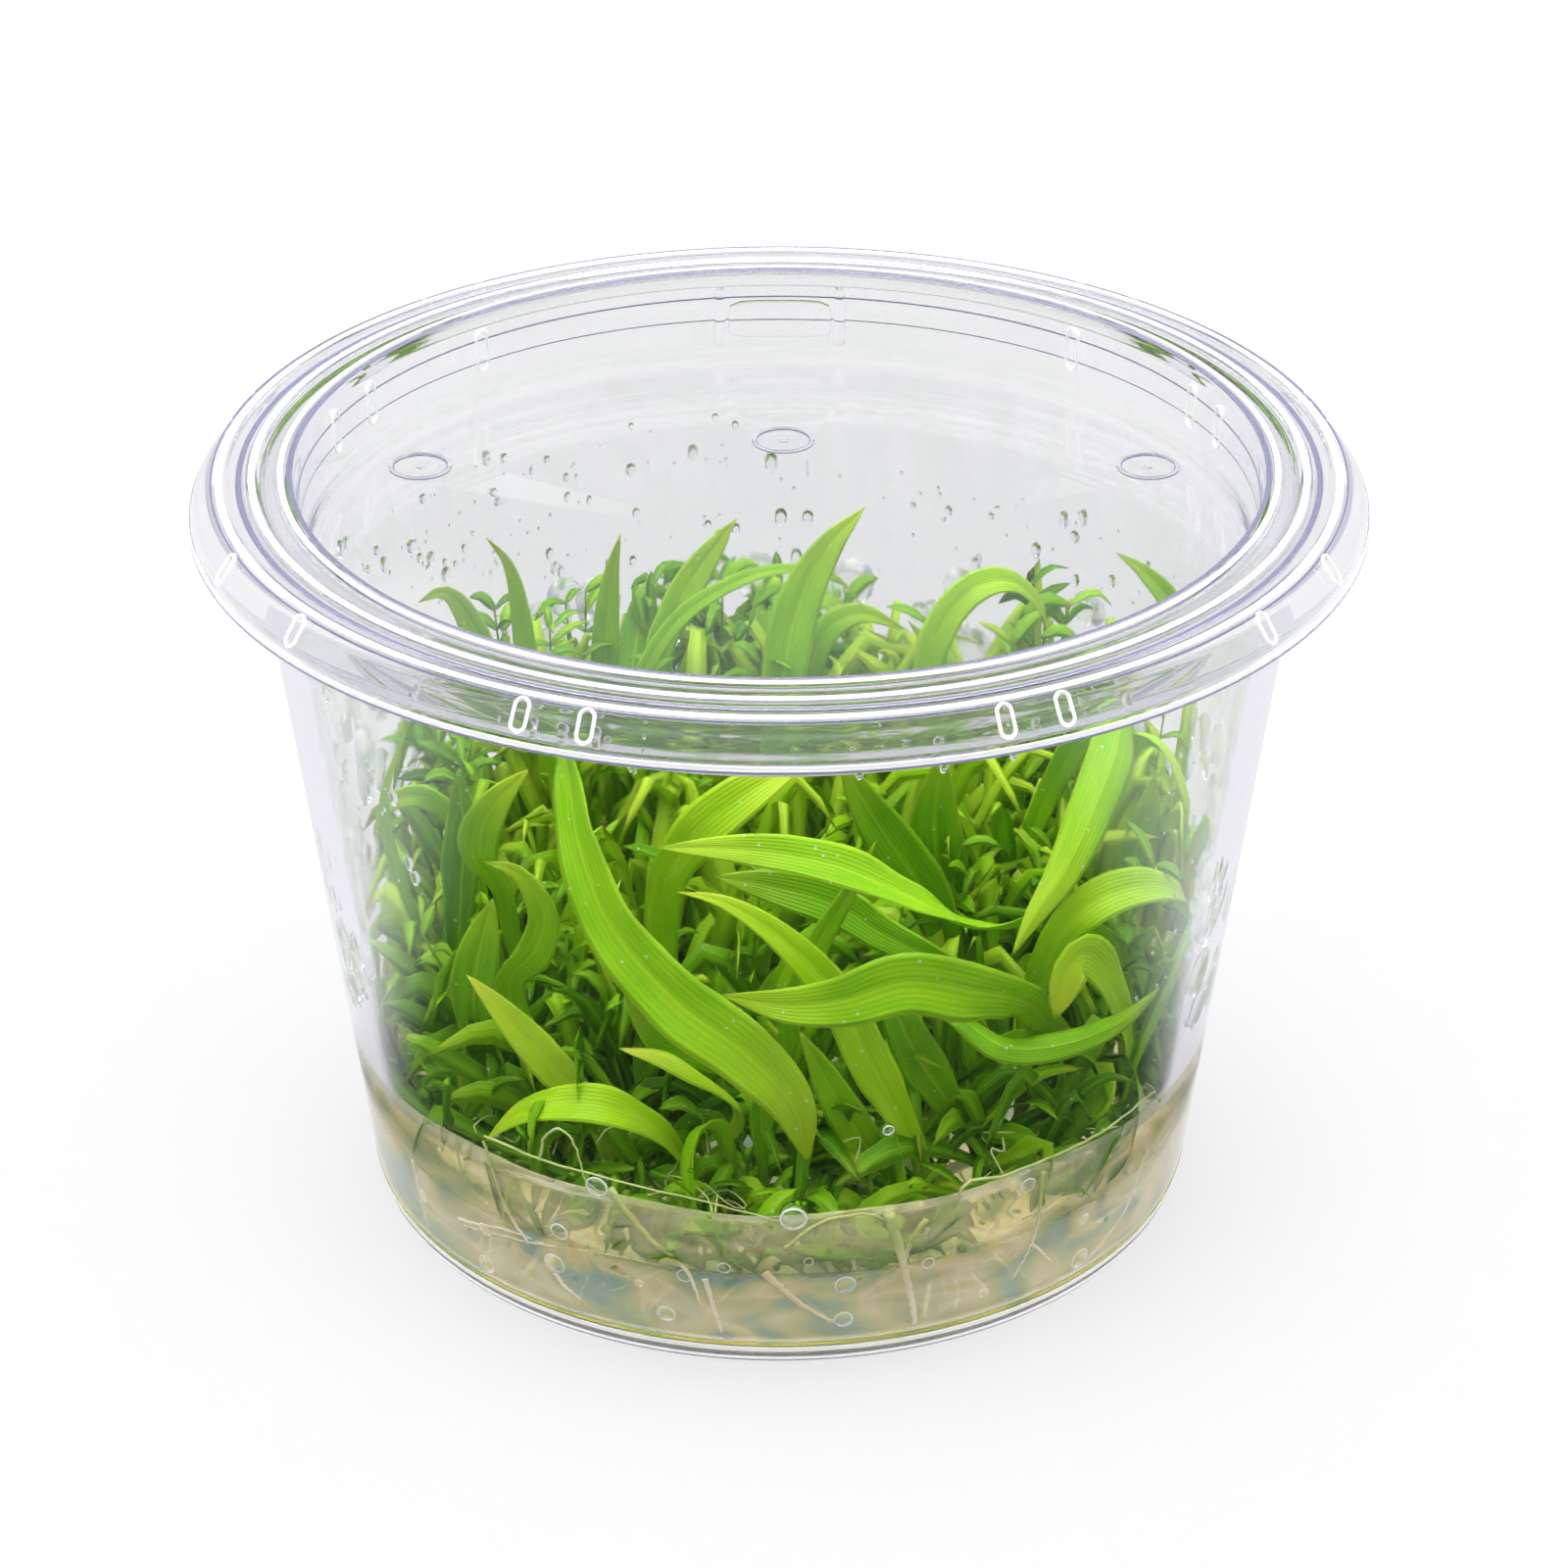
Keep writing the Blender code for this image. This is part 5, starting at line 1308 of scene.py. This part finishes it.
@dataclass
class SmallGrowth:
    """Dense small growth between the strap leaves: narrow leaves, sprigs of small leaves and round leaves."""

    seed: int = 11
    narrow_count: int = 1150
    narrow_steps: int = 11
    sprig_count: int = 80
    crumb_count: int = 380
    plantlets: int = 8
    shape: BladeShape = field(default_factory=lambda: BladeShape(thickness=0.16, ruffle=0.0, half_steps=1,
                                                                 turn_ease_per_mm=0.1))

    @staticmethod
    def inside(places: Array) -> Array:
        """The places, drawn in from the wall and then up out of the gel.

        Args:
            places: the points, one row each.

        Returns:
            The places that result.
        """
        kept = kept_in(places, 0.7, 0.0)
        kept[:, 2] = np.maximum(kept[:, 2], GEL_TOP + 0.3)
        return kept

    def route(self, points: list[Array] | Array, count: int) -> Array:
        """Smooth route through points, kept inside the tub."""
        return self.inside(smooth_route(self.inside(np.array(points)), count))

    def narrow_leaves(self, draws: Draws) -> Draft:
        """Narrow young leaves that lean and arch every way.

        Args:
            draws: random numbers.

        Returns:
            The draft.
        """
        draft = Draft()
        for number in range(self.narrow_count):
            radius = 41.0 * math.sqrt(draws.uniform(0.0, 1.0))
            angle = draws.uniform(0, TURN)
            x, y = radius * math.cos(angle), radius * math.sin(angle)
            ceiling = max(canopy(y) + draws.uniform(-3, 3) - 1.1 * max(0.0, -27.0 - x), 14.0)
            if number % 4 == 0:
                ceiling = min(ceiling, draws.uniform(14.0, 20.0))
            top = GEL_TOP + (ceiling - GEL_TOP) * draws.uniform(0.45, 1.0)
            lean = draws.uniform(6, 19)
            heading = draws.uniform(0, TURN)
            dx, dy = lean * math.cos(heading), lean * math.sin(heading)
            droop = draws.uniform(-2, 9)
            points = np.array([[x, y, GEL_TOP + draws.uniform(0.3, 6)], [x + 0.2 * dx, y + 0.2 * dy, 0.55 * top + 5],
                               [x + 0.6 * dx, y + 0.6 * dy, top], [x + dx, y + dy, top - droop]])
            points[:, :2] *= (inner_radius(points[:, 2]) / inner_radius(GEL_TOP))[:, None]
            places = self.route(points, self.narrow_steps)
            width = draws.uniform(1.3, 3.0)
            widths = strap_width(np.linspace(0, 1, self.narrow_steps), width, draws.uniform(0.45, 0.7))
            face = unit(np.array([draws.uniform(-0.6, 0.6), -0.7, draws.uniform(0.5, 1.6)]))
            # Painted light and shade: the higher a leaf reaches, the paler its green, and leaves near the front and at
            # the back are painted paler than their height says
            depth = max((top - 12) / 36, 0.4 if y < -27 else 0.0)
            far = 0.2 if y > -10 else 0.0
            tone = (float(np.clip(0.23 + far + 0.72 * depth + draws.normal(0, 0.16), 0, 1)), draws.uniform(0, 0.6))
            self.shape.add(draft, places, widths, face, face, tone, draws.uniform(0, 40))
        return draft

    def round_leaf(self, draft: Draft, foot: Array, out: Array, size: float, tone: float) -> None:
        """Adds a small round leaf, a shallow cupped disc on its stalk.

        Args:
            draft: the draft to add to.
            foot: where it leaves the stem.
            out: the way it points.
            size: its length.
            tone: place in the run of greens.
        """
        side = unit(np.cross(out, [0.02, 0.03, 1.0]))
        up = np.cross(side, out)
        cosines, sines = circle(8).T
        reach, wide = 0.58 - 0.42 * cosines, 0.36 * sines
        rim = foot + size * (reach[:, None] * out + wide[:, None] * side + 0.08 * np.abs(wide)[:, None] * up)
        middle = foot + size * (0.58 * out - 0.03 * up)
        faces = [(k, (k + 1) % 8, 8) for k in range(8)] + [((k + 1) % 8, k, 9) for k in range(8)]
        blade = [*np.column_stack([0.5 + wide, np.clip(reach, 0.2, 0.8)]), (0.56, 0.5), (0.56, 0.5)]
        grain = [*np.column_stack([size * wide, size * reach]), (0, 0.5 * size), (0, 0.5 * size)]
        draft.add(np.vstack([rim, middle + 0.14 * up, middle - 0.14 * up]), faces,
                  {"grain": np.array(grain) + foot[:2], "blade": np.array(blade),
                   "tone": np.tile([tone, 0.2], (10, 1))})

    def young_leaf(self, draft: Draft, draws: Draws, foot: Array, out: Array, size: float, tone: float) -> None:
        """Adds a short arched leaf of a sprig.

        Args:
            draft: the draft to add to.
            draws: random numbers.
            foot: where it leaves the stem.
            out: the way it points.
            size: its length.
            tone: place in the run of greens.
        """
        droop = draws.uniform(0.1, 0.5) * size * UP
        places = self.route([foot, foot + 0.5 * size * out, foot + size * out - droop], 6)
        widths = min(size * draws.uniform(0.18, 0.32), 1.9) * np.sin(np.pi * np.linspace(0.1, 1.0, 6)) ** 0.8
        face = unit(np.array([draws.uniform(-0.5, 0.5), draws.uniform(-0.9, 0.0), 1.0]))
        self.shape.add(draft, places, widths, face, face, (tone, draws.uniform(0, 0.4)), draws.uniform(0, 40))

    def sprigs(self, draws: Draws) -> Draft:
        """Stems with short leaves, round leaves at the wall and crumbs of leaf in the gel.

        Args:
            draws: random numbers.

        Returns:
            The draft.
        """
        draft = Draft()
        for k in range(self.sprig_count):
            near_wall = k % 3 > 0
            angle = draws.uniform(0, TURN)
            radius = draws.uniform(33, 41) if near_wall else 34 * math.sqrt(draws.uniform(0, 1))
            x, y = radius * math.cos(angle), radius * math.sin(angle)
            ceiling = canopy(y) + draws.uniform(-2, 3)
            if near_wall and y < 0:
                ceiling = draws.uniform(17, 34 if x < 0 else 42) if abs(x) > 29 else 15.5
            dx, dy = draws.normal(0, 4, 2)
            points = np.array([[x, y, GEL_TOP - 0.5], [x + 0.3 * dx, y + 0.3 * dy, 0.5 * (GEL_TOP + ceiling)],
                               [x + dx, y + dy, ceiling]])
            count = max(5, round(route_length(points) / 2.2))
            places = self.route(points, count)
            thread(draft, places, 0.22, 0.12, 4)
            tone = draws.uniform(0.3, 0.85)
            ahead = headings(places)
            for n in range(1, count):
                turn = 2.4 * n + draws.uniform(-0.6, 0.6)
                for way in ((1, -1) if draws.uniform() < 0.5 else (1,)):
                    out = np.array([way * math.cos(turn), way * math.sin(turn), draws.uniform(0.1, 0.9)])
                    self.young_leaf(draft, draws, places[n], unit(out + 0.2 * ahead[n]), draws.uniform(2.6, 7.0),
                                    float(np.clip(tone + draws.normal(0, 0.12), 0, 1)))
        for angle, height, size, turn in WALL_LEAFLETS:
            foot = on_wall(angle, height, 1.2)
            end = on_wall(angle + math.degrees(size * math.cos(turn) / inner_radius(height)),
                          height + size * math.sin(turn), 0.5)
            self.round_leaf(draft, foot, unit(end - foot), size, 0.3)
        for _ in range(self.crumb_count):
            spot = on_wall(draws.uniform(-180, 180), draws.uniform(4, FILM_TOP + 4), draws.uniform(0.2, 1.2))
            self.round_leaf(draft, spot, unit(draws.normal(0, 1, 3)), draws.uniform(0.3, 1.1), draws.uniform(0.0, 0.8))
        return draft

    def build(self, finish: Finishes) -> None:
        """Grows the narrow leaves, which stand for the plantlets, and the sprigs.

        Args:
            finish: the object's finishes.
        """
        draws = np.random.default_rng(self.seed)
        make_piece("narrow_leaves", self.narrow_leaves(draws), finish.small_skin, Slot.SMALL,
                   tuple(f"plantlet_{n}" for n in range(1, self.plantlets + 1)))
        make_piece("round_leaf_sprigs", self.sprigs(draws), finish.small_skin, Slot.SMALL)


@dataclass
class Roots:
    """Crowns, runners, main roots and the fine roots and threads round them."""

    seed: int = 23
    fine_count: int = 150
    thread_count: int = 130
    crown_profile: Rows = ((1.2, GEL_TOP + 0.1), (2.0, 11.2), (2.3, 12.0), (2.0, 13.0), (1.3, 14.0), (0.7, CROWN_TOP))
    crown_steps: int = 20

    @staticmethod
    def root(draft: Draft, route: Array, count: int, start: float, end: float, sides: int) -> None:
        """Adds a root that is kept inside the gel's foot.

        Args:
            draft: the draft to add to.
            route: corners that it passes through.
            count: number of its points.
            start: radius at its start.
            end: radius at its end.
            sides: corners of its section.
        """
        thread(draft, kept_in(smooth_route(route, count), 0.6, 2.1), start, end, sides)

    def crowns(self) -> Draft:
        """Crowns as fluted onions of leaf sheaths.

        Returns:
            The draft.
        """
        draft = Draft()
        turns = TURN * np.arange(self.crown_steps) / self.crown_steps
        for (x, y), _ in (crown for row in RUNNERS.values() for crown in row):
            flutes = (1 + 0.1 * np.cos(5 * turns + x))[:, None] * circle(self.crown_steps)
            draft.loft([np.column_stack([np.array([x, y]) + radius * flutes, np.full(self.crown_steps, height)])
                        for radius, height in self.crown_profile])
        return draft

    def runners(self, draws: Draws) -> Draft:
        """Creeping runners between the crowns, and the main roots that wander down through the gel.

        Args:
            draws: random numbers.

        Returns:
            The draft.
        """
        draft = Draft()
        for row in RUNNERS.values():
            for ((x0, y0), _), ((x1, y1), _) in zip(row, row[1:]):
                middle = (0.5 * (x0 + x1), 0.5 * (y0 + y1) - 1.2, 11.9)
                thread(draft, smooth_route([(x0, y0, 11.3), middle, (x1, y1, 11.3)], 16), 0.55, 0.55, 8)
        for (x, y), tips in (crown for row in RUNNERS.values() for crown in row):
            for tip in tips:
                start = np.array([x, y, 12.0])
                route = start + np.linspace(0, 1, 5)[:, None] * (np.array(tip, float) - start)
                route[1:-1] += draws.normal(0, 0.7, (3, 3))
                self.root(draft, route, 22, 0.5, 0.22, 7)
        return draft

    def fine_roots(self, draws: Draws) -> Draft:
        """Fine roots in the gel, curly threads along its surface and the roots at the wall.

        Args:
            draws: random numbers.

        Returns:
            The draft.
        """
        draft = Draft()
        for _ in range(self.fine_count):
            angle = draws.uniform(0, TURN)
            radius = draws.uniform(24, 41)
            start = np.array([radius * math.cos(angle), radius * math.sin(angle), draws.uniform(8, 13)])
            turn = angle + draws.uniform(-1.2, 1.2)
            out = unit(np.array([math.cos(turn), math.sin(turn), -draws.uniform(0.2, 1.2)]))
            route = start + np.linspace(0, 1, 5)[:, None] * (draws.uniform(5, 14) * out)
            route[1:] += draws.normal(0, 0.8, (4, 3))
            self.root(draft, route, 14, draws.uniform(0.14, 0.3), 0.07, 5)
        for _ in range(self.thread_count):
            angle = draws.uniform(0, TURN)
            start = np.array([math.cos(angle), math.sin(angle), 0]) * draws.uniform(34, 41.5)
            start[2] = draws.uniform(GEL_TOP, FILM_TOP + 1)
            steps = draws.normal(0, 1.6, (5, 3)) * np.array([1, 1, 0.7])
            self.root(draft, start + np.cumsum(np.vstack([np.zeros(3), steps]), axis=0), 16, 0.12, 0.06, 4)
        for radius, corners in WALL_ROOTS:
            places = smooth_route([on_wall(angle, height, 0.25 * radius) for angle, height in corners], 26)
            thread(draft, places + draws.normal(0, 0.04, places.shape), radius, 0.45 * radius, 8)
        return draft

    def build(self, finish: Finishes) -> None:
        """Makes the crowns with their runners and main roots, and the fine roots.

        Args:
            finish: the object's finishes.
        """
        draws = np.random.default_rng(self.seed)
        make_piece("runners_and_roots", self.runners(draws), finish.root_skin, Slot.ROOT,
                   ("runner_front", "runner_middle", "runner_back"))
        make_piece("crowns", self.crowns(), finish.crown_skin, Slot.ROOT)
        make_piece("fine_roots", self.fine_roots(draws), finish.root_skin, Slot.ROOT)


# Water and bubbles


@dataclass
class Water:
    """Drops on the wall, pale beads crowded low on the back wall and bubbles at the gel."""

    seed: int = 31
    drop_count: int = 120
    mist_count: int = 260
    bead_count: int = 170
    shell: float = 0.86
    ring_share: float = 0.11
    # Where drops hang: share of them, degrees from the front and heights from and to
    zones: Rows = ((0.32, 185, 250, 46, 62), (0.18, -84, -44, 46, 69), (0.16, 46, 84, 34, 68),
                   (0.16, 100, 185, 44, 56), (0.18, -48, 48, 70.5, 75))
    dome: Rows = ((1.0, 0.12), (0.86, 0.55), (0.5, 0.9))

    def bead(self, draft: Draft, angle: float, height: float, wide: float, deep: float, stretch: float) -> None:
        """Adds a bead of water that hangs on the inner wall.

        Args:
            draft: the draft to add to.
            angle: degrees from the front.
            height: height of its middle.
            wide: half its width.
            deep: how far it stands off the wall.
            stretch: its height over its width.
        """
        side, up, out = wall_ways(angle)
        centre = on_wall(angle, height)
        cosines, sines = circle(12).T
        # It sags a little under its own weight
        sag = stretch * np.where(sines < 0, 1.1, 0.95) * sines
        across = wide * (cosines[:, None] * side + sag[:, None] * up)
        rings = [centre + share * across - rise * out
                 for share, rise in ((1.0, -0.04), *((share, rise * deep) for share, rise in self.dome))]
        draft.loft(np.array(rings)[:, ::-1], tip=centre - deep * out)

    def drops(self, draws: Draws) -> Draft:
        """Fine drops on the upper wall, densest at the back, the left and the right.

        Args:
            draws: random numbers.

        Returns:
            The draft.
        """
        draft = Draft()
        for number in range(self.drop_count + self.mist_count):
            _, first, last, low, high = self.zones[draws.choice(len(self.zones), p=[zone[0] for zone in self.zones])]
            angle = draws.uniform(first, last)
            size = draws.uniform(0.3, 0.7) if number < self.drop_count else draws.uniform(0.1, 0.2)
            self.bead(draft, angle, draws.uniform(low, high), size, 0.62 * size, draws.uniform(1.0, 1.7))
        return draft

    def beads(self, draws: Draws) -> Draft:
        """Large pale beads crowded on the wall behind and beside the leaves.

        Args:
            draws: random numbers.

        Returns:
            The draft.
        """
        draft = Draft()
        for _ in range(self.bead_count):
            angle = 180 + draws.uniform(-115, 115)
            height = draws.uniform(26, 46)
            size = draws.uniform(1.2, 2.8)
            self.bead(draft, angle, height, size, 0.4 * size, draws.uniform(0.8, 1.2))
        return draft

    def bubbles(self) -> Draft:
        """Bubbles that stand at the wall above the gel, each a thin round shell.

        Returns:
            The draft.
        """
        draft = Draft()
        for angle, height, radius in BUBBLES:
            if height > GEL_TOP:
                centre = on_wall(angle, height, 0.5 * radius)
                self.ball(draft, centre, radius)
                self.ball(draft, centre, self.shell * radius, inward=True)
        return draft

    def rims(self) -> Draft:
        """Rings of gel that the bubbles draw up where they touch the wall, whitened to paint the bubbles' bright edge.

        Returns:
            The draft.
        """
        draft = Draft()
        for angle, height, size in BUBBLES:
            side, up, out = wall_ways(angle)
            up, out = up / up[2], out / up[2]
            radius = 0.88 * size
            ways = [c * side + s * up for c, s in circle(28)]
            tube = self.ring_share * radius
            rings = [ring(on_wall(angle, height) + radius * way, tube * way, tube * out, 8) for way in ways]
            draft.loft(np.array(rings)[:, ::-1], looped=True)
        return draft

    @staticmethod
    def ball(draft: Draft, centre: Array, radius: float, inward: bool = False) -> None:
        """Adds a small ball.

        Args:
            draft: the draft to add to.
            centre: its middle.
            radius: its radius.
            inward: it is the inner skin of a hollow one.
        """
        tilts = np.linspace(-0.42 * np.pi, 0.42 * np.pi, 9)
        rings = [np.column_stack([math.cos(tilt) * circle(16), np.full(16, math.sin(tilt))]) for tilt in tilts]
        draft.loft(centre + radius * np.array(rings)[:, ::-1 if inward else 1])

    def build(self, finish: Finishes) -> None:
        """Sets the drops, beads and bubbles.

        Args:
            finish: the object's finishes.
        """
        draws = np.random.default_rng(self.seed)
        make_piece("wall_drops", self.drops(draws), finish.water, Slot.PLASTIC)
        make_piece("back_wall_beads", self.beads(draws), finish.pale_water, Slot.PLASTIC)
        make_piece("gel_bubbles", self.bubbles(), finish.water, Slot.GEL)
        make_piece("bubble_rims", self.rims(), finish.painted_rim_highlight, Slot.GEL)


# Studio


@dataclass
class Studio:
    """Floor, light and camera."""

    lens_mm: float = 111.7
    sensor_mm: float = 36.0
    camera_mm: tuple[float, float, float] = (0.476, -442.9, 281.1)
    pitch_degrees: float = 61.7
    floor_size_mm: float = 4000.0
    floor_colour: str = "#5E5E5E"
    floor_glow: float = 0.7
    tooth_mm: float = 3.0
    # The grey card: its middle and reach in metres, and how pale it is before and behind the tub
    card_middle: float = -0.07
    card_reach: tuple[float, float] = (0.1, 0.085)
    card_before: float = 0.03
    card_behind: float = 0.95
    card_again: float = 0.9
    plate_radius: float = 45.0
    plate_hole: tuple[float, float] = (14.0, 30.0)
    plate_strength: float = 1.75
    front_flag: float = 0.06
    dome_low: float = 0.28
    dome_high: float = 1.8
    # Soft windows as (way to them, cosines at which they start and are full, strength)
    windows: tuple[tuple[tuple[float, float, float], float, float, float], ...] = (
        ((-0.056, 0.909, 0.412), 0.9990, 0.9998, 0.8), ((0.062, 0.907, 0.416), 0.9996, 0.9999, 0.6))
    # Soft boxes as (name, place and aim in metres, side in metres, watts)
    boxes: tuple[tuple[str, tuple[float, ...], tuple[float, ...], float, float], ...] = (
        ("key", (-0.3, 0.0, 0.95), (0.0, 0.0, 0.04), 1.0, 7.2),
        ("fill", (0.6, 0.05, 0.85), (0.0, 0.0, 0.04), 0.8, 3.5),
        ("back", (-0.05, 0.36, 1.05), (0.0, 0.0, 0.05), 0.8, 9.5))

    def floor_finish(self) -> Material:
        """Pale matt floor that glows softly, and the cards that only mirrored or much bent light sees.

        Returns:
            The material.
        """
        made, add = new_material("pale_floor")
        path = add("LightPath").node.outputs
        where = add("TexCoord", out="Object")
        tooth = add("TexNoise", {"Vector": where, "Scale": 1 / (self.tooth_mm * MM)}, "Fac")
        bump = add("Bump", {"Height": tooth, "Strength": 0.05, "Distance": 0.05 * MM})
        glow = add("MapRange", {"Value": path["Is Diffuse Ray"], "To Min": self.floor_glow,
                                "To Max": 0.5 * self.floor_glow})
        ground = add("BsdfPrincipled", {"Base Color": linear(self.floor_colour), "Roughness": 0.9,
                                        "Specular IOR Level": 0.0, "Emission Color": (1.0, 1.0, 1.0, 1.0),
                                        "Normal": bump, "Emission Strength": glow})
        from_axis = add("VectorMath", {0: where}, "Value", operation="LENGTH")
        # A dark card before the tub and pale ones round it, seen only as mirrored in the clear walls
        wide, long = self.card_reach
        laid = add("Mapping", {"Vector": where, "Location": (0.0, -self.card_middle / long, 0.0),
                               "Scale": (1 / wide, 1 / long, 0.0)})
        off = add("VectorMath", {0: laid}, "Value", operation="LENGTH")
        held = add("MapRange", {"Value": off, "From Min": 0.92, "From Max": 1.2, "To Min": self.card_before,
                                "To Max": self.card_behind})
        for value, start, full in ((from_axis, 0.053, 0.048), (path["Transmission Depth"], 4.0, 6.0),
                                   (path["Glossy Depth"], 1.0, 2.0)):
            pale = add("MapRange", {"Value": value, "From Min": start, "From Max": full, "To Max": self.card_again})
            held = add("Math", {0: held, 1: pale}, operation="MAXIMUM")
        card = add("Emission", {"Color": linear("#F5F5FA"), "Strength": held})
        # A pale plate under the tub, seen only through the gel, stands for the light that the gel scatters
        near = add("MapRange", {"Value": from_axis, "From Min": (self.plate_radius + 1) * MM,
                                "From Max": (self.plate_radius - 2) * MM})
        hole = add("MapRange", {"Value": from_axis, "From Min": self.plate_hole[0] * MM,
                                "From Max": self.plate_hole[1] * MM, "To Min": 0.35})
        crossed = add("Math", {0: path["Transmission Depth"], 1: path["Is Diffuse Ray"]}, operation="SUBTRACT",
                      use_clamp=True)
        plated = add("Math", {0: add("Math", {0: near, 1: hole}, operation="MULTIPLY"), 1: crossed},
                     operation="MULTIPLY")
        plate = add("Emission", {"Color": linear("#FCF8E4"), "Strength": self.plate_strength})
        lit = add("MixShader", {0: plated, 1: ground, 2: plate})
        mirrored = add("Math", {0: path["Glossy Depth"], 1: 1.0}, operation="MINIMUM")
        add("OutputMaterial", {"Surface": add("MixShader", {0: mirrored, 1: lit, 2: card})})
        return made

    def floor(self) -> None:
        """Plain pale floor with a fine matt tooth, lit softly from below as a light table is."""
        draft, half = Draft(), 0.5 * self.floor_size_mm
        draft.add(np.array([(-half, -half, -0.05), (half, -half, -0.05), (half, half, -0.05), (-half, half, -0.05)]),
                  [(0, 1, 2, 3)], {})
        floor = place_object("floor", draft.mesh("floor"))
        floor.data.materials.append(self.floor_finish())

    def sky(self) -> None:
        """Soft dome: bright overhead, greyer lavender low down, so that clear edges show."""
        world = bpy.data.worlds.new("studio")
        bpy.context.scene.world = world
        world.use_nodes = True
        world.node_tree.nodes.clear()
        add = partial(add_node, world.node_tree)
        path = add("LightPath").node.outputs
        way = add("TexCoord", out="Generated")
        _, back, up = add("SeparateXYZ", {0: way}).node.outputs
        dome = set_stops(add("ValToRGB", {"Fac": up}), [(0.0, "#DEDEEA"), (0.3, "#A2A2B2"), (0.5, "#9C9CAC"),
                                                        (0.75, "#F6F6FC"), (1.0, "#FFFFFF")])
        patches = []
        for toward, start, full, strength in self.windows:
            near = add("VectorMath", {0: way, 1: toward}, "Value", operation="DOT_PRODUCT")
            patches.append(add("MapRange", {"Value": near, "From Min": start, "From Max": full, "To Max": strength},
                               interpolation_type="SMOOTHSTEP"))
        glow = add("Math", dict(enumerate(patches)), operation="ADD")
        cards = add("Mix", {0: 1.0, 6: dome, 7: glow}, 2, data_type="RGBA", blend_type="ADD")
        flagged = add("MapRange", {"Value": back, "From Min": -0.5, "From Max": -0.1, "To Min": self.front_flag})
        mirrored_sky = add("Background", {"Color": cards, "Strength": flagged})
        rising = add("MapRange", {"Value": up, "From Max": 0.9, "To Min": self.dome_low, "To Max": self.dome_high})
        light = add("Background", {"Color": (1, 1, 1, 1), "Strength": rising})
        white = add("Background", {"Color": (1, 1, 1, 1), "Strength": 1.0})
        lit = add("MixShader", {0: path["Is Diffuse Ray"], 1: white, 2: light})
        mirrored = add("Math", {0: path["Glossy Depth"], 1: 1.0}, operation="MINIMUM")
        clear = add("Math", {0: mirrored, 1: path["Is Diffuse Ray"]}, operation="SUBTRACT", use_clamp=True)
        add("OutputWorld", {"Surface": add("MixShader", {0: clear, 1: lit, 2: mirrored_sky})})

    def lamps(self) -> None:
        """Hangs the soft boxes."""
        for name, place, aim, size, power in self.boxes:
            data = bpy.data.lights.new(name, "AREA")
            data.shape, data.size, data.energy = "SQUARE", size, power
            lamp = place_object(name, data)
            lamp.location = place
            lamp.rotation_mode = "QUATERNION"
            lamp.rotation_quaternion = (Vector(place) - Vector(aim)).to_track_quat("Z", "Y")

    @staticmethod
    def keep_off(piece: bpy.types.Object) -> None:
        """Keeps the lamps' own glare off a flat clear piece, as polarised soft boxes do.

        Args:
            piece: the piece.
        """
        spared = bpy.data.collections.new("spared")
        spared.objects.link(piece)
        for item in spared.collection_objects:
            item.light_linking.link_state = "EXCLUDE"
        for lamp in [thing for thing in bpy.context.scene.objects if thing.type == "LIGHT"]:
            lamp.light_linking.receiver_collection = spared

    def camera(self) -> None:
        """Camera at the photo's place."""
        data = bpy.data.cameras.new("camera")
        data.lens, data.sensor_width = self.lens_mm, self.sensor_mm
        data.clip_start, data.clip_end = 0.01, 20.0
        camera = place_object("camera", data)
        camera.location = Vector(self.camera_mm) * MM
        camera.rotation_euler = (math.radians(self.pitch_degrees), 0.0, 0.0)
        bpy.context.scene.camera = camera

    def build(self) -> None:
        """Sets up the floor, the light and the camera."""
        self.floor()
        self.sky()
        self.lamps()
        self.camera()
        scene = bpy.context.scene
        scene.view_settings.view_transform = "Standard"
        for name, value in (("max_bounces", 22), ("transmission_bounces", 18), ("transparent_max_bounces", 30),
                            ("diffuse_bounces", 2), ("glossy_bounces", 8), ("caustics_reflective", False),
                            ("caustics_refractive", False), ("use_denoising", True), ("adaptive_threshold", 0.3)):
            setattr(scene.cycles, name, value)


def main() -> None:
    """Builds and dresses every piece in order."""
    logging.basicConfig(level=logging.INFO, format="%(message)s")
    Studio().build()
    finish = Finishes()
    Tub().build(finish)
    Studio.keep_off(Lid().build(finish))
    for assembly in (Gel(), Tufts(), SmallGrowth(), Roots(), Water()):
        assembly.build(finish)


if __name__ == "__main__":
    main()
